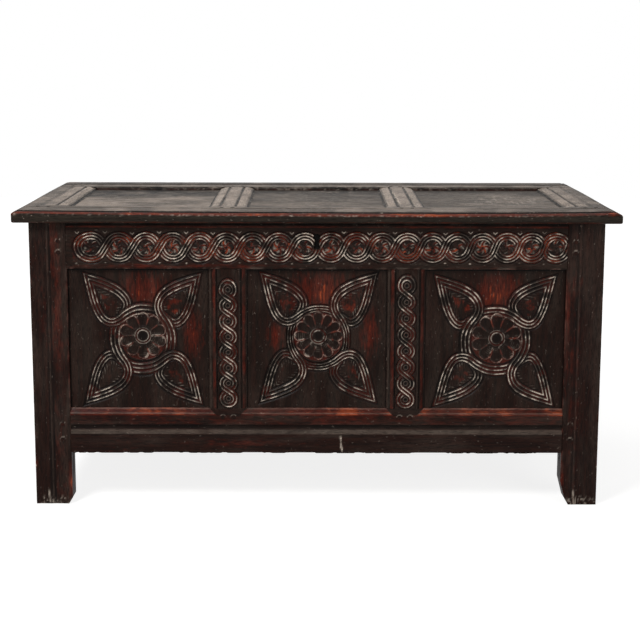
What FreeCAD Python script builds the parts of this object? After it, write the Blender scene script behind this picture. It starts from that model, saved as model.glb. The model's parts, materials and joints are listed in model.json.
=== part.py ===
import FreeCAD, Part
import os
from dataclasses import dataclass

# A joined oak coffer chest: four corner stiles, panelled front, back and ends, a boarded
# floor, and a framed and panelled lid on two iron strap hinges, with an iron chest lock.
# Millimetres. X runs along the chest, its front faces -Y, and Z is up from the feet.

# ---- overall ----
LID_LENGTH = 1400.0
LID_DEPTH = 610.0
LID_THICKNESS = 32.0
CASE_HEIGHT = 678.0
END_OVERHANG = 34.0          # lid's ends past the case's ends
FRONT_OVERHANG = 24.0        # lid's front edge ahead of the case's front face
LID_SEAT_GAP = 0.3           # lid's underside above the case's top edge
LID_BACK_GAP = 0.5           # lid's back edge ahead of the case's back face

# ---- case members ----
STILE_WIDTH = 86.0
STILE_THICKNESS = 45.0
RAIL_THICKNESS = 30.0
MUNTIN_WIDTH = 89.0
END_MUNTIN_WIDTH = 82.0
TOP_RAIL_HEIGHT = 110.0
BOTTOM_RAIL_HEIGHT = 109.0
LEG_HEIGHT = 126.0

# ---- lid members ----
LID_FRONT_RAIL = 102.0
LID_BACK_RAIL = 125.0
LID_STILE_WIDTH = 115.0
LID_MUNTIN_WIDTH = 97.0
LID_EDGE_ROUND = 9.0

# ---- joinery ----
CASE_PANEL_SINK = 10.0
LID_PANEL_SINK = 9.0
PANEL_THICKNESS = 13.0
TONGUE_THICKNESS = 8.0
PANEL_BACK_BEVEL = 24.0      # width of the bevel that thins a panel's back to its tongue
GROOVE_DEPTH = 10.0
PANEL_FIT = 0.2              # panel tongue to each wall of its groove
PANEL_SPACE = 2.0            # room left for the panel to swell, at each edge
TENON_SETBACK = 10.0
TENON_THICKNESS = 10.0
TENON_SHOULDER = 14.0
TENON_FIT = 0.1
MORTISE_SPACE = 1.5          # end of a tenon to the bottom of its mortise
LONG_TENON = 60.0            # front and back rails, into the stiles' edges
SHORT_TENON = 22.0           # end rails, into the stiles' faces
UPRIGHT_TENON = 35.0

# ---- mouldings ----
FRONT_SILL_BEVEL = 14.0      # bevel along the front panels' lower edges
EDGE_BEVEL = 6.0
LID_BEVEL = 12.0
RAIL_MOULD_DROP = 40.0       # the bottom rail's run moulding, below the rail's upper edge
RAIL_MOULD_FLAT = 11.0
RAIL_MOULD_SLOPE = 12.0
RAIL_MOULD_DEPTH = 4.0

# ---- pegs ----
PEG_RADIUS = 4.5
PEG_LENGTH = 28.0
PEG_PROUD = 0.8
PEG_FIT = 0.05
PEG_SETBACK = 19.0           # peg's axis from the tenon's shoulder
SHORT_PEG_SETBACK = 11.0
TOP_PEG_DROP = 45.0          # upper peg of a top rail, below the rail's upper edge
TOP_PEG_PITCH = 26.0
BOTTOM_PEG_DROP = 39.0
BOTTOM_PEG_PITCH = 37.0
MUNTIN_PEG_PITCH = 25.0
MUNTIN_PEG_SETBACK = 21.0

# ---- floor ----
FLOOR_RISE = 30.0            # floor's underside above the bottom rails' lower edges
FLOOR_THICKNESS = 14.0
FLOOR_HOUSING = 8.0          # depth of the floor's groove in the front and back rails
FLOOR_FIT = 0.2
FLOOR_BOARDS = 4
FLOOR_BOARD_GAP = 0.5

# ---- hinges ----
HINGE_SPACING = 860.0
KNUCKLE_RADIUS = 5.5
HINGE_OFFSET = 6.0           # hinge axis behind the case's back face
HINGE_PIN_RADIUS = 3.0
HINGE_PIN_FIT = 0.05
PIN_HEAD_RADIUS = 4.6
PIN_HEAD_THICKNESS = 2.5
KNUCKLE_LENGTH = 15.0        # each of the leaf's two knuckles
STRAP_WIDTH = 28.0
KNUCKLE_GAP = 0.5            # between neighbouring knuckles
IRON_THICKNESS = 3.0
STRAP_LENGTH = 112.0
LEAF_HEIGHT = 78.0
RECESS_FIT = 0.2

# ---- nails ----
NAIL_RADIUS = 2.0
NAIL_HEAD_RADIUS = 5.0
NAIL_HEAD_HEIGHT = 2.2
NAIL_TIP_RADIUS = 1.0
NAIL_LENGTH = 24.0
SHORT_NAIL_LENGTH = 12.0
NAIL_FIT = 0.05
STRAP_NAILS = 3

# ---- lock ----
LOCK_FRONT_WALL = 14.0       # wood left in front of the lock's pocket
LOCK_POCKET_END = 3.5        # pocket's end behind the bolt's tail end
LOCK_POCKET_FOOT = 13.5      # pocket's foot below the keyhole
LOCK_PLATE_MARGIN = 15.0     # plate past the pocket, at its ends and foot
LOCK_PLATE_THICKNESS = 2.5
LOCK_PLATE_FIT = 0.2
LOCK_NAIL_INSET = 8.0
KEYHOLE_DROP = 34.5          # centre of the keyhole's eye below the case's top
KEYHOLE_EYE_RADIUS = 6.0
KEYHOLE_SLOT_WIDTH = 7.0
KEYHOLE_SLOT_LENGTH = 28.0
KEY_PIN_RADIUS = 2.5
KEY_PIN_CLEARANCE = 1.0      # key pin's end behind the pocket's front wall
BOLT_LENGTH = 56.0
BOLT_HEIGHT = 10.0
BOLT_THICKNESS = 5.0
BOLT_DROP = 7.0              # bolt's upper edge below the case's top
BOLT_TAIL_WIDTH = 10.0
BOLT_TAIL_HEIGHT = 13.0
BOLT_TAIL_GAP = 1.0          # tail behind the front guide when the bolt is thrown
BOLT_THROW = 14.0
BOLT_FIT = 0.4
GUIDE_WIDTH = 4.0
GUIDE_WALL = 2.0
GUIDE_SETBACKS = (2.5, 37.5)  # guides' front edges behind the bolt's tip at rest
SPRING_THICKNESS = 1.0
SPRING_FOOT = 4.0
SPRING_SPAN = (11.5, 33.5)    # the spring's ends behind the bolt's tip at rest
STAPLE_BAR = 3.0
STAPLE_WIDTH = 5.0
STAPLE_EYE_SIDE = 1.0        # staple's eye past each side of the bolt
STAPLE_EYE_ROOM = 2.2        # staple's eye above and below the bolt
STAPLE_TO_BOLT = 2.0
STAPLE_SLOT_GAP = 2.0
STAPLE_PLATE_HALF = 35.0
STAPLE_PLATE_DEPTH = 30.0
STAPLE_NAIL_INSET = 9.0

# ---- places worked out from the sizes above ----
OVERALL_DEPTH = LID_DEPTH + LID_BACK_GAP + HINGE_OFFSET + KNUCKLE_RADIUS
LID_FRONT = -OVERALL_DEPTH / 2
LID_BACK = LID_FRONT + LID_DEPTH
CASE_FRONT = LID_FRONT + FRONT_OVERHANG
CASE_BACK = LID_BACK + LID_BACK_GAP
CASE_DEPTH = CASE_BACK - CASE_FRONT
CASE_MIDDLE = (CASE_FRONT + CASE_BACK) / 2
LID_HALF = LID_LENGTH / 2
CASE_HALF = LID_HALF - END_OVERHANG
LID_UNDERSIDE = CASE_HEIGHT + LID_SEAT_GAP
LID_TOP = LID_UNDERSIDE + LID_THICKNESS
LOW_RAIL = (LEG_HEIGHT, LEG_HEIGHT + BOTTOM_RAIL_HEIGHT)
HIGH_RAIL = (CASE_HEIGHT - TOP_RAIL_HEIGHT, CASE_HEIGHT)
HINGE_AXIS_Y = CASE_BACK + HINGE_OFFSET
HINGE_AXIS_Z = CASE_HEIGHT
FLOOR_SPAN = (LEG_HEIGHT + FLOOR_RISE, LEG_HEIGHT + FLOOR_RISE + FLOOR_THICKNESS)
POCKET_MIDDLE = (LOCK_FRONT_WALL + RAIL_THICKNESS) / 2
KEYHOLE_Z = CASE_HEIGHT - KEYHOLE_DROP
BOLT_TIP = -STAPLE_WIDTH / 2 - STAPLE_TO_BOLT
BOLT_TOP = CASE_HEIGHT - BOLT_DROP
BOLT_SPAN = (BOLT_TOP - BOLT_HEIGHT, BOLT_TOP)
BOLT_TAIL_SETBACK = BOLT_THROW + GUIDE_SETBACKS[0] + GUIDE_WIDTH + BOLT_TAIL_GAP
STAPLE_EYE_WIDTH = BOLT_THICKNESS + 2 * STAPLE_EYE_SIDE
STAPLE_HALF = STAPLE_EYE_WIDTH / 2 + STAPLE_BAR
LOCK_POCKET_HALF = BOLT_LENGTH - BOLT_TIP + LOCK_POCKET_END
LOCK_POCKET_HEIGHT = KEYHOLE_DROP + KEYHOLE_SLOT_LENGTH + LOCK_POCKET_FOOT
LOCK_PLATE_HALF = LOCK_POCKET_HALF + LOCK_PLATE_MARGIN
LOCK_PLATE_HEIGHT = LOCK_POCKET_HEIGHT + LOCK_PLATE_MARGIN
BEYOND = 5.0                 # how far a cutting solid runs past the face it opens

X_AXIS = FreeCAD.Vector(1, 0, 0)
Y_AXIS = FreeCAD.Vector(0, 1, 0)
Z_AXIS = FreeCAD.Vector(0, 0, 1)
Span = tuple[float, float]


# ---- basic solids ----
def block(x: Span, y: Span, z: Span) -> Part.Shape:
    """A box between the low and high value on each axis."""
    corner = FreeCAD.Vector(x[0], y[0], z[0])
    return Part.makeBox(x[1] - x[0], y[1] - y[0], z[1] - z[0], corner)


def grow(span: Span, gap: float) -> Span:
    """The span with the gap added at both ends; a negative gap shortens it."""
    return (span[0] - gap, span[1] + gap)


def around(middle: float, width: float) -> Span:
    """The span of the given width about its middle."""
    return (middle - width / 2, middle + width / 2)


def rod(radius: float, start: FreeCAD.Vector, direction: FreeCAD.Vector, length: float) -> Part.Shape:
    """A round bar from its start along a direction."""
    return Part.makeCylinder(radius, length, start, direction)


def prism(corners: list[tuple[float, float]], x: Span) -> Part.Shape:
    """A bar along X with the given outline of (y, z) corners."""
    points = [FreeCAD.Vector(x[0], y, z) for y, z in corners]
    outline = Part.makePolygon(points + points[:1])
    return Part.Face(outline).extrude(X_AXIS * (x[1] - x[0]))


def tapered(near: tuple[Span, Span], far: tuple[Span, Span], y: Span) -> Part.Shape:
    """A bar along Y whose outline, as (x span, z span), changes from near to far."""
    (near_x, near_z), (far_x, far_z) = near, far
    return Part.makeWedge(near_x[0], y[0], near_z[0], far_z[0], far_x[0],
                          near_x[1], y[1], near_z[1], far_z[1], far_x[1])


def cut_all(shape: Part.Shape, tools: list[Part.Shape]) -> Part.Shape:
    """The shape with every tool that reaches it taken away."""
    near = [tool for tool in tools if tool.BoundBox.intersect(shape.BoundBox)]
    return shape.cut(near) if near else shape


def joined(shapes: list[Part.Shape]) -> Part.Shape:
    """One solid from touching or overlapping shapes."""
    return shapes[0].fuse(shapes[1:]).removeSplitter()


def save(name: str, shape: Part.Shape) -> None:
    """Write one node's solid or solids."""
    solids = shape.Solids
    body = solids[0] if len(solids) == 1 else Part.makeCompound(solids)
    body.exportStep(f"parts/{name}.step")


# ---- frames of rails, uprights and panels ----
@dataclass(frozen=True)
class Frame:
    """A panelled frame, drawn with x along it, y in from its outer face, and z up it."""

    placement: FreeCAD.Placement
    half_length: float            # half the rails' length between their shoulders
    low_rail: Span
    high_rail: Span
    thickness: float
    sink: float                   # the panels' face behind the frame's face
    uprights: tuple[Span, ...]
    end_tenon: float              # length of the rails' end tenons, 0 where they have none
    peg_places: tuple[tuple[float, float], ...]
    peg_length: float
    side_bevel: float
    low_bevel: float
    high_bevel: float

    def placed(self, shape: Part.Shape) -> Part.Shape:
        """The shape moved from the frame's own axes to the chest's."""
        shape.Placement = self.placement.multiply(shape.Placement)
        return shape

    def openings(self) -> list[Span]:
        """The x span of each panel's opening, from left to right."""
        edges = [edge for upright in self.uprights for edge in upright]
        if self.end_tenon:
            edges = [-self.half_length, *edges, self.half_length]
        else:
            edges = edges[1:-1]
        return list(zip(edges[0::2], edges[1::2]))

    def opening_height(self) -> Span:
        """The z span of every panel's opening."""
        return (self.low_rail[1], self.high_rail[0])

    def tenon_band(self) -> Span:
        """The y span of every tenon."""
        return (TENON_SETBACK, TENON_SETBACK + TENON_THICKNESS)

    def panel_cuts(self) -> list[Part.Shape]:
        """Grooves and edge bevels round every opening."""
        height = self.opening_height()
        band = (self.sink, self.sink + TONGUE_THICKNESS)
        flared_height = (height[0] - self.low_bevel, height[1] + self.high_bevel)
        cuts = []
        for opening in self.openings():
            groove = (grow(opening, GROOVE_DEPTH), grow(height, GROOVE_DEPTH))
            cuts.append(block(groove[0], grow(band, PANEL_FIT), groove[1]))
            if self.side_bevel:
                flared = (grow(opening, self.side_bevel), flared_height)
                cuts.append(tapered(flared, (opening, height), (0, self.sink)))
        return cuts

    def peg(self, place: tuple[float, float], gap: float) -> Part.Shape:
        """A peg, or with a gap its hole."""
        start = FreeCAD.Vector(place[0], -PEG_PROUD - gap, place[1])
        return rod(PEG_RADIUS + gap, start, Y_AXIS, self.peg_length + PEG_PROUD + 2 * gap)

    def peg_holes(self) -> list[Part.Shape]:
        """The holes that the frame's pegs are driven into."""
        return [self.peg(place, PEG_FIT) for place in self.peg_places]

    def rail_cuts(self) -> list[Part.Shape]:
        """Mortises for the uprights, panel grooves, bevels and peg holes."""
        reach = (self.low_rail[1] - UPRIGHT_TENON, self.high_rail[0] + UPRIGHT_TENON)
        band = grow(self.tenon_band(), TENON_FIT)
        mortises = [block(grow(upright, TENON_FIT - TENON_SHOULDER), band, grow(reach, MORTISE_SPACE))
                    for upright in self.uprights]
        return mortises + self.panel_cuts() + self.peg_holes()

    def stile_cuts(self) -> list[Part.Shape]:
        """What the frame takes out of the stiles at its ends, in the chest's axes."""
        reach = self.half_length + self.end_tenon + MORTISE_SPACE
        band = grow(self.tenon_band(), TENON_FIT)
        mortises = [block((-reach, reach), band, grow(rail, TENON_FIT - TENON_SHOULDER))
                    for rail in (self.low_rail, self.high_rail)]
        cuts = mortises + self.panel_cuts() + self.peg_holes()
        return [self.placed(cut) for cut in cuts]

    def rail(self, height: Span, extra_cuts: list[Part.Shape]) -> Part.Shape:
        """One rail with its end tenons, mortises and grooves."""
        ends = (-self.half_length, self.half_length)
        bar = block(ends, (0, self.thickness), height)
        if self.end_tenon:
            tenon = block(grow(ends, self.end_tenon), self.tenon_band(), grow(height, -TENON_SHOULDER))
            bar = joined([bar, tenon])
        return self.placed(cut_all(bar, self.rail_cuts() + extra_cuts))

    def upright(self, span: Span) -> Part.Shape:
        """One upright between the rails, with a tenon at each end."""
        height = self.opening_height()
        bar = block(span, (0, self.thickness), height)
        tenon = block(grow(span, -TENON_SHOULDER), self.tenon_band(), grow(height, UPRIGHT_TENON))
        return self.placed(cut_all(joined([bar, tenon]), self.panel_cuts() + self.peg_holes()))

    def panel(self, opening: Span) -> Part.Shape:
        """One panel: a tongued board, thicker in the middle of its back."""
        height = self.opening_height()
        tongue = (self.sink, self.sink + TONGUE_THICKNESS)
        board = block(grow(opening, GROOVE_DEPTH - PANEL_SPACE), tongue,
                      grow(height, GROOVE_DEPTH - PANEL_SPACE))
        base = (grow(opening, -PANEL_SPACE), grow(height, -PANEL_SPACE))
        field = (grow(base[0], -PANEL_BACK_BEVEL), grow(base[1], -PANEL_BACK_BEVEL))
        back = tapered(base, field, (tongue[1], self.sink + PANEL_THICKNESS))
        return self.placed(joined([board, back]))

    def pegs(self) -> Part.Shape:
        """All the frame's pegs, as separate solids."""
        return Part.makeCompound([self.placed(self.peg(place, 0)) for place in self.peg_places])


def evenly_spaced(half_length: float, width: float, count: int) -> tuple[Span, ...]:
    """Uprights of one width that leave equal openings between the ends."""
    clear = (2 * half_length - count * width) / (count + 1)
    starts = [-half_length + clear + index * (clear + width) for index in range(count)]
    return tuple((start, start + width) for start in starts)


def case_pegs(half_length: float, setback: float) -> tuple[tuple[float, float], ...]:
    """The pegs of a case frame's four rail ends."""
    top = HIGH_RAIL[1] - TOP_PEG_DROP
    bottom = LOW_RAIL[1] - BOTTOM_PEG_DROP
    heights = (top, top - TOP_PEG_PITCH, bottom, bottom - BOTTOM_PEG_PITCH)
    return tuple((side * (half_length + setback), z) for side in (-1, 1) for z in heights)


def upright_pegs(uprights: tuple[Span, ...], z: float) -> tuple[tuple[float, float], ...]:
    """Two pegs side by side through the end of every upright."""
    middles = [sum(upright) / 2 for upright in uprights]
    return tuple((place, z) for middle in middles for place in around(middle, MUNTIN_PEG_PITCH))


def long_frame(placement: FreeCAD.Placement, side: float, sill: float, head: float) -> Frame:
    """The case's front or back frame."""
    half = CASE_HALF - STILE_WIDTH
    uprights = evenly_spaced(half, MUNTIN_WIDTH, 2)
    pegs = case_pegs(half, PEG_SETBACK) + upright_pegs(uprights, LOW_RAIL[1] - MUNTIN_PEG_SETBACK)
    return Frame(placement, half, LOW_RAIL, HIGH_RAIL, RAIL_THICKNESS, CASE_PANEL_SINK, uprights,
                 LONG_TENON, pegs, PEG_LENGTH, side, sill, head)


def end_frame(placement: FreeCAD.Placement) -> Frame:
    """The case's left or right end frame."""
    half = CASE_DEPTH / 2 - STILE_THICKNESS
    uprights = evenly_spaced(half, END_MUNTIN_WIDTH, 1)
    pegs = case_pegs(half, SHORT_PEG_SETBACK)
    pegs += upright_pegs(uprights, LOW_RAIL[1] - MUNTIN_PEG_SETBACK)
    return Frame(placement, half, LOW_RAIL, HIGH_RAIL, RAIL_THICKNESS, CASE_PANEL_SINK, uprights,
                 SHORT_TENON, pegs, PEG_LENGTH, EDGE_BEVEL, EDGE_BEVEL, EDGE_BEVEL)


def lid_frame() -> Frame:
    """The lid's frame, drawn upright: its z runs from the lid's front edge to its back."""
    flat = FreeCAD.Placement(FreeCAD.Vector(0, LID_FRONT, LID_TOP), FreeCAD.Rotation(X_AXIS, -90))
    low = (0.0, LID_FRONT_RAIL)
    high = (LID_DEPTH - LID_BACK_RAIL, LID_DEPTH)
    inner_half = LID_HALF - LID_STILE_WIDTH
    inner = evenly_spaced(inner_half, LID_MUNTIN_WIDTH, 2)
    uprights = ((-LID_HALF, -inner_half), *inner, (inner_half, LID_HALF))
    pegs = upright_pegs(uprights, low[1] - MUNTIN_PEG_SETBACK)
    pegs += upright_pegs(uprights, high[0] + MUNTIN_PEG_SETBACK)
    return Frame(flat, LID_HALF, low, high, LID_THICKNESS, LID_PANEL_SINK, uprights, 0.0, pegs,
                 PEG_LENGTH, LID_BEVEL, LID_BEVEL, LID_BEVEL)


def turned(x: float, y: float, degrees: float) -> FreeCAD.Placement:
    """Where an upright frame's face stands, and which way it is turned."""
    return FreeCAD.Placement(FreeCAD.Vector(x, y, 0), FreeCAD.Rotation(Z_AXIS, degrees))


FRONT = long_frame(turned(0, CASE_FRONT, 0), EDGE_BEVEL, FRONT_SILL_BEVEL, 0.0)
BACK = long_frame(turned(0, CASE_BACK, 180), EDGE_BEVEL, EDGE_BEVEL, EDGE_BEVEL)
LEFT = end_frame(turned(-CASE_HALF, CASE_MIDDLE, -90))
RIGHT = end_frame(turned(CASE_HALF, CASE_MIDDLE, 90))
LID = lid_frame()


# ---- stiles and floor ----
def stile(x_side: int, y_side: int) -> Part.Shape:
    """The corner stile on the given sides, with the mortises of the two frames it joins."""
    x_edge = x_side * CASE_HALF
    y_face = CASE_FRONT if y_side < 0 else CASE_BACK
    x_inner = x_edge - x_side * STILE_WIDTH
    y_inner = y_face - y_side * STILE_THICKNESS
    post = block(tuple(sorted((x_edge, x_inner))), tuple(sorted((y_face, y_inner))), (0, CASE_HEIGHT))
    long_side = FRONT if y_side < 0 else BACK
    short_side = LEFT if x_side < 0 else RIGHT
    return cut_all(post, long_side.stile_cuts() + short_side.stile_cuts())


def floor_groove() -> Part.Shape:
    """The groove in a long bottom rail's inner face, in the frame's own axes."""
    depth = (RAIL_THICKNESS - FLOOR_HOUSING, RAIL_THICKNESS + BEYOND)
    return block((-CASE_HALF, CASE_HALF), depth, grow(FLOOR_SPAN, FLOOR_FIT))


def floor_board(index: int) -> Part.Shape:
    """One board, front to back, housed in the long rails and cut round the stiles."""
    inner_half = CASE_HALF - RAIL_THICKNESS - FLOOR_BOARD_GAP
    pitch = 2 * inner_half / FLOOR_BOARDS
    start = -inner_half + index * pitch
    reach = RAIL_THICKNESS - FLOOR_HOUSING + FLOOR_FIT
    board = block((start, start + pitch - FLOOR_BOARD_GAP), (CASE_FRONT + reach, CASE_BACK - reach),
                  FLOOR_SPAN)
    corner_x = CASE_HALF - STILE_WIDTH - FLOOR_BOARD_GAP
    notches = []
    for face, inward in ((CASE_FRONT, 1), (CASE_BACK, -1)):
        inner = face + inward * (STILE_THICKNESS + FLOOR_BOARD_GAP)
        depth = tuple(sorted((face, inner)))
        notches += [block((-CASE_HALF, -corner_x), depth, grow(FLOOR_SPAN, BEYOND)),
                    block((corner_x, CASE_HALF), depth, grow(FLOOR_SPAN, BEYOND))]
    return cut_all(board, notches)


# ---- the front's own cuts ----
def run_moulding() -> Part.Shape:
    """The moulding run along the front bottom rail, in the frame's own axes."""
    top = LOW_RAIL[1] - RAIL_MOULD_DROP
    flat_end = top - RAIL_MOULD_FLAT
    corners = [(0, top), (RAIL_MOULD_DEPTH, top), (RAIL_MOULD_DEPTH, flat_end),
               (0, flat_end - RAIL_MOULD_SLOPE)]
    half = CASE_HALF - STILE_WIDTH
    return prism(corners, (-half, half))


def lock_cuts() -> list[Part.Shape]:
    """The lock's pocket, its plate's ledge and the keyhole, in the front frame's own axes."""
    behind = (LOCK_FRONT_WALL, RAIL_THICKNESS + BEYOND)
    pocket = block((-LOCK_POCKET_HALF, LOCK_POCKET_HALF), behind,
                   (CASE_HEIGHT - LOCK_POCKET_HEIGHT, CASE_HEIGHT + BEYOND))
    ledge_half = LOCK_PLATE_HALF + LOCK_PLATE_FIT
    ledge_depth = (LOCK_FRONT_WALL - LOCK_PLATE_FIT, RAIL_THICKNESS + BEYOND)
    ledge = block((-ledge_half, ledge_half), ledge_depth,
                  (CASE_HEIGHT - LOCK_PLATE_THICKNESS, CASE_HEIGHT + BEYOND))
    eye = rod(KEYHOLE_EYE_RADIUS, FreeCAD.Vector(0, -BEYOND, KEYHOLE_Z), Y_AXIS,
              LOCK_FRONT_WALL + 2 * BEYOND)
    slot = block(around(0, KEYHOLE_SLOT_WIDTH), (-BEYOND, LOCK_FRONT_WALL + BEYOND),
                 (KEYHOLE_Z - KEYHOLE_SLOT_LENGTH, KEYHOLE_Z))
    return [pocket, ledge, eye, slot] + [lock_nail(place, NAIL_FIT) for place in lock_nail_places()]


# ---- nails ----
def nail(point: FreeCAD.Vector, direction: FreeCAD.Vector, length: float, gap: float) -> Part.Shape:
    """A rose-headed nail whose head bears at the point, or with a gap its hole."""
    shank = Part.makeCone(NAIL_RADIUS + gap, NAIL_TIP_RADIUS + gap, length + gap, point, direction)
    if gap:
        return shank
    head = Part.makeCone(NAIL_HEAD_RADIUS, NAIL_TIP_RADIUS, NAIL_HEAD_HEIGHT, point, -direction)
    return joined([shank, head])


def sunk_nail(point: FreeCAD.Vector, direction: FreeCAD.Vector, gap: float) -> Part.Shape:
    """A nail with its head sunk flush at the point, or with a gap its hole."""
    shank = Part.makeCone(NAIL_RADIUS + gap, NAIL_TIP_RADIUS + gap, NAIL_LENGTH + gap, point, direction)
    head = Part.makeCone(NAIL_HEAD_RADIUS + gap, NAIL_RADIUS + gap, NAIL_HEAD_HEIGHT, point, direction)
    return joined([shank, head])


# ---- hinges ----
def hinge_middles() -> tuple[float, float]:
    """Where the two hinges stand along X."""
    return around(0, HINGE_SPACING)


def hinge_bar(radius: float, x: Span) -> Part.Shape:
    """A round bar on the hinges' axis: a knuckle, a pin or the pin's bore."""
    return rod(radius, FreeCAD.Vector(x[0], HINGE_AXIS_Y, HINGE_AXIS_Z), X_AXIS, x[1] - x[0])


def pin_bore(x: Span) -> Part.Shape:
    """What the pin's bore takes out of a leaf or strap."""
    return hinge_bar(HINGE_PIN_RADIUS + HINGE_PIN_FIT, x)


def leaf_half() -> float:
    """Half a leaf's width, across its two knuckles and the strap's one."""
    return STRAP_WIDTH / 2 + KNUCKLE_GAP + KNUCKLE_LENGTH


def leaf_nail_points(middle: float) -> list[FreeCAD.Vector]:
    """Where a leaf's nails bear, on its outer face."""
    y = CASE_BACK + IRON_THICKNESS
    side = leaf_half() / 2
    rise = CASE_HEIGHT - LEAF_HEIGHT / 3
    low = CASE_HEIGHT - LEAF_HEIGHT
    return [FreeCAD.Vector(middle - side, y, rise), FreeCAD.Vector(middle + side, y, rise),
            FreeCAD.Vector(middle, y, low)]


def hinge_leaf(middle: float) -> Part.Shape:
    """The fixed leaf on the back rail, with two knuckles."""
    half = leaf_half()
    face = (CASE_BACK, CASE_BACK + IRON_THICKNESS)
    low = CASE_HEIGHT - LEAF_HEIGHT
    plate = block(around(middle, 2 * half), face, (low, CASE_HEIGHT))
    foot = rod(half, FreeCAD.Vector(middle, face[0], low), Y_AXIS, IRON_THICKNESS)
    notch = block(around(middle, STRAP_WIDTH + 2 * KNUCKLE_GAP), grow(face, BEYOND),
                  (CASE_HEIGHT - KNUCKLE_RADIUS - KNUCKLE_GAP, CASE_HEIGHT + BEYOND))
    ends = [(middle - half, middle - half + KNUCKLE_LENGTH), (middle + half - KNUCKLE_LENGTH, middle + half)]
    knuckles = [hinge_bar(KNUCKLE_RADIUS, end) for end in ends]
    shape = joined([joined([plate, foot]).cut(notch)] + knuckles)
    holes = [nail(point, -Y_AXIS, NAIL_LENGTH, NAIL_FIT) for point in leaf_nail_points(middle)]
    return cut_all(shape, holes + [pin_bore(around(middle, 2 * half))])


def strap_nail_points(middle: float) -> list[FreeCAD.Vector]:
    """Where a strap's nails are sunk, under the lid."""
    step = STRAP_LENGTH / (STRAP_NAILS + 1)
    return [FreeCAD.Vector(middle, LID_BACK - step * (index + 1), LID_UNDERSIDE)
            for index in range(STRAP_NAILS)]


def hinge_strap(middle: float) -> Part.Shape:
    """The moving strap, let into the lid's underside, with the middle knuckle."""
    across = around(middle, STRAP_WIDTH)
    thick = (LID_UNDERSIDE, LID_UNDERSIDE + IRON_THICKNESS)
    end_y = LID_BACK - STRAP_LENGTH + STRAP_WIDTH / 2
    bar = block(across, (end_y, HINGE_AXIS_Y), thick)
    tip = rod(STRAP_WIDTH / 2, FreeCAD.Vector(middle, end_y, thick[0]), Z_AXIS, IRON_THICKNESS)
    holes = [sunk_nail(point, Z_AXIS, NAIL_FIT) for point in strap_nail_points(middle)]
    knuckle = hinge_bar(KNUCKLE_RADIUS, across)
    return cut_all(joined([bar, tip, knuckle]), holes + [pin_bore(across)])


def strap_recess(middle: float) -> Part.Shape:
    """The recess that lets a strap into the lid's underside, in the chest's axes."""
    across = grow(around(middle, STRAP_WIDTH), RECESS_FIT)
    end_y = LID_BACK - STRAP_LENGTH + STRAP_WIDTH / 2
    thick = (LID_UNDERSIDE - BEYOND, LID_UNDERSIDE + IRON_THICKNESS)
    start = FreeCAD.Vector(middle, end_y, thick[0])
    tip = rod(STRAP_WIDTH / 2 + RECESS_FIT, start, Z_AXIS, thick[1] - thick[0])
    return joined([block(across, (end_y, LID_BACK + BEYOND), thick), tip])


def hinge_pin(middle: float) -> Part.Shape:
    """A hinge pin with a riveted head at each end."""
    inner = around(middle, 2 * leaf_half())
    outer = grow(inner, PIN_HEAD_THICKNESS)
    ends = ((outer[0], inner[0]), (inner[1], outer[1]))
    heads = [hinge_bar(PIN_HEAD_RADIUS, end) for end in ends]
    return joined([hinge_bar(HINGE_PIN_RADIUS, outer)] + heads)


# ---- lock ----
def lock_nail_places() -> list[tuple[float, float]]:
    """The lock plate's nails, as x and z."""
    x = LOCK_PLATE_HALF - LOCK_NAIL_INSET
    heights = (CASE_HEIGHT - 2 * LOCK_NAIL_INSET, CASE_HEIGHT - LOCK_PLATE_HEIGHT + LOCK_NAIL_INSET)
    return [(side * x, z) for side in (-1, 1) for z in heights]


def lock_nail(place: tuple[float, float], gap: float) -> Part.Shape:
    """One nail of the lock plate, in the front frame's own axes."""
    point = FreeCAD.Vector(place[0], RAIL_THICKNESS + LOCK_PLATE_THICKNESS, place[1])
    return nail(point, -Y_AXIS, SHORT_NAIL_LENGTH, gap)


def lock_plate() -> Part.Shape:
    """The lock's back plate, with a flange over the rail's top that the staple drops through."""
    across = (-LOCK_PLATE_HALF, LOCK_PLATE_HALF)
    face = (RAIL_THICKNESS, RAIL_THICKNESS + LOCK_PLATE_THICKNESS)
    plate = block(across, face, (CASE_HEIGHT - LOCK_PLATE_HEIGHT, CASE_HEIGHT))
    flange = block(across, (LOCK_FRONT_WALL, RAIL_THICKNESS),
                   (CASE_HEIGHT - LOCK_PLATE_THICKNESS, CASE_HEIGHT))
    slot_half = STAPLE_HALF + STAPLE_SLOT_GAP / 2
    slot = block(around(0, STAPLE_WIDTH + 2 * STAPLE_SLOT_GAP),
                 (POCKET_MIDDLE - slot_half, POCKET_MIDDLE + slot_half),
                 (CASE_HEIGHT - BEYOND, CASE_HEIGHT + BEYOND))
    holes = [lock_nail(place, NAIL_FIT) for place in lock_nail_places()]
    return FRONT.placed(cut_all(joined([plate, flange]), [slot] + holes))


def key_pin() -> Part.Shape:
    """The post on the lock plate that a pipe key turns on."""
    length = RAIL_THICKNESS - LOCK_FRONT_WALL - KEY_PIN_CLEARANCE
    start = FreeCAD.Vector(0, RAIL_THICKNESS - length, KEYHOLE_Z)
    return FRONT.placed(rod(KEY_PIN_RADIUS, start, Y_AXIS, length))


def lock_bolt() -> Part.Shape:
    """The sliding bolt, drawn back, with a tail that the key pushes."""
    thick = around(POCKET_MIDDLE, BOLT_THICKNESS)
    bar = block((BOLT_TIP - BOLT_LENGTH, BOLT_TIP), thick, BOLT_SPAN)
    tail_front = BOLT_TIP - BOLT_TAIL_SETBACK
    tail_height = (BOLT_SPAN[0] - BOLT_TAIL_HEIGHT, BOLT_SPAN[0])
    tail = block((tail_front - BOLT_TAIL_WIDTH, tail_front), thick, tail_height)
    return FRONT.placed(joined([bar, tail]))


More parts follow.
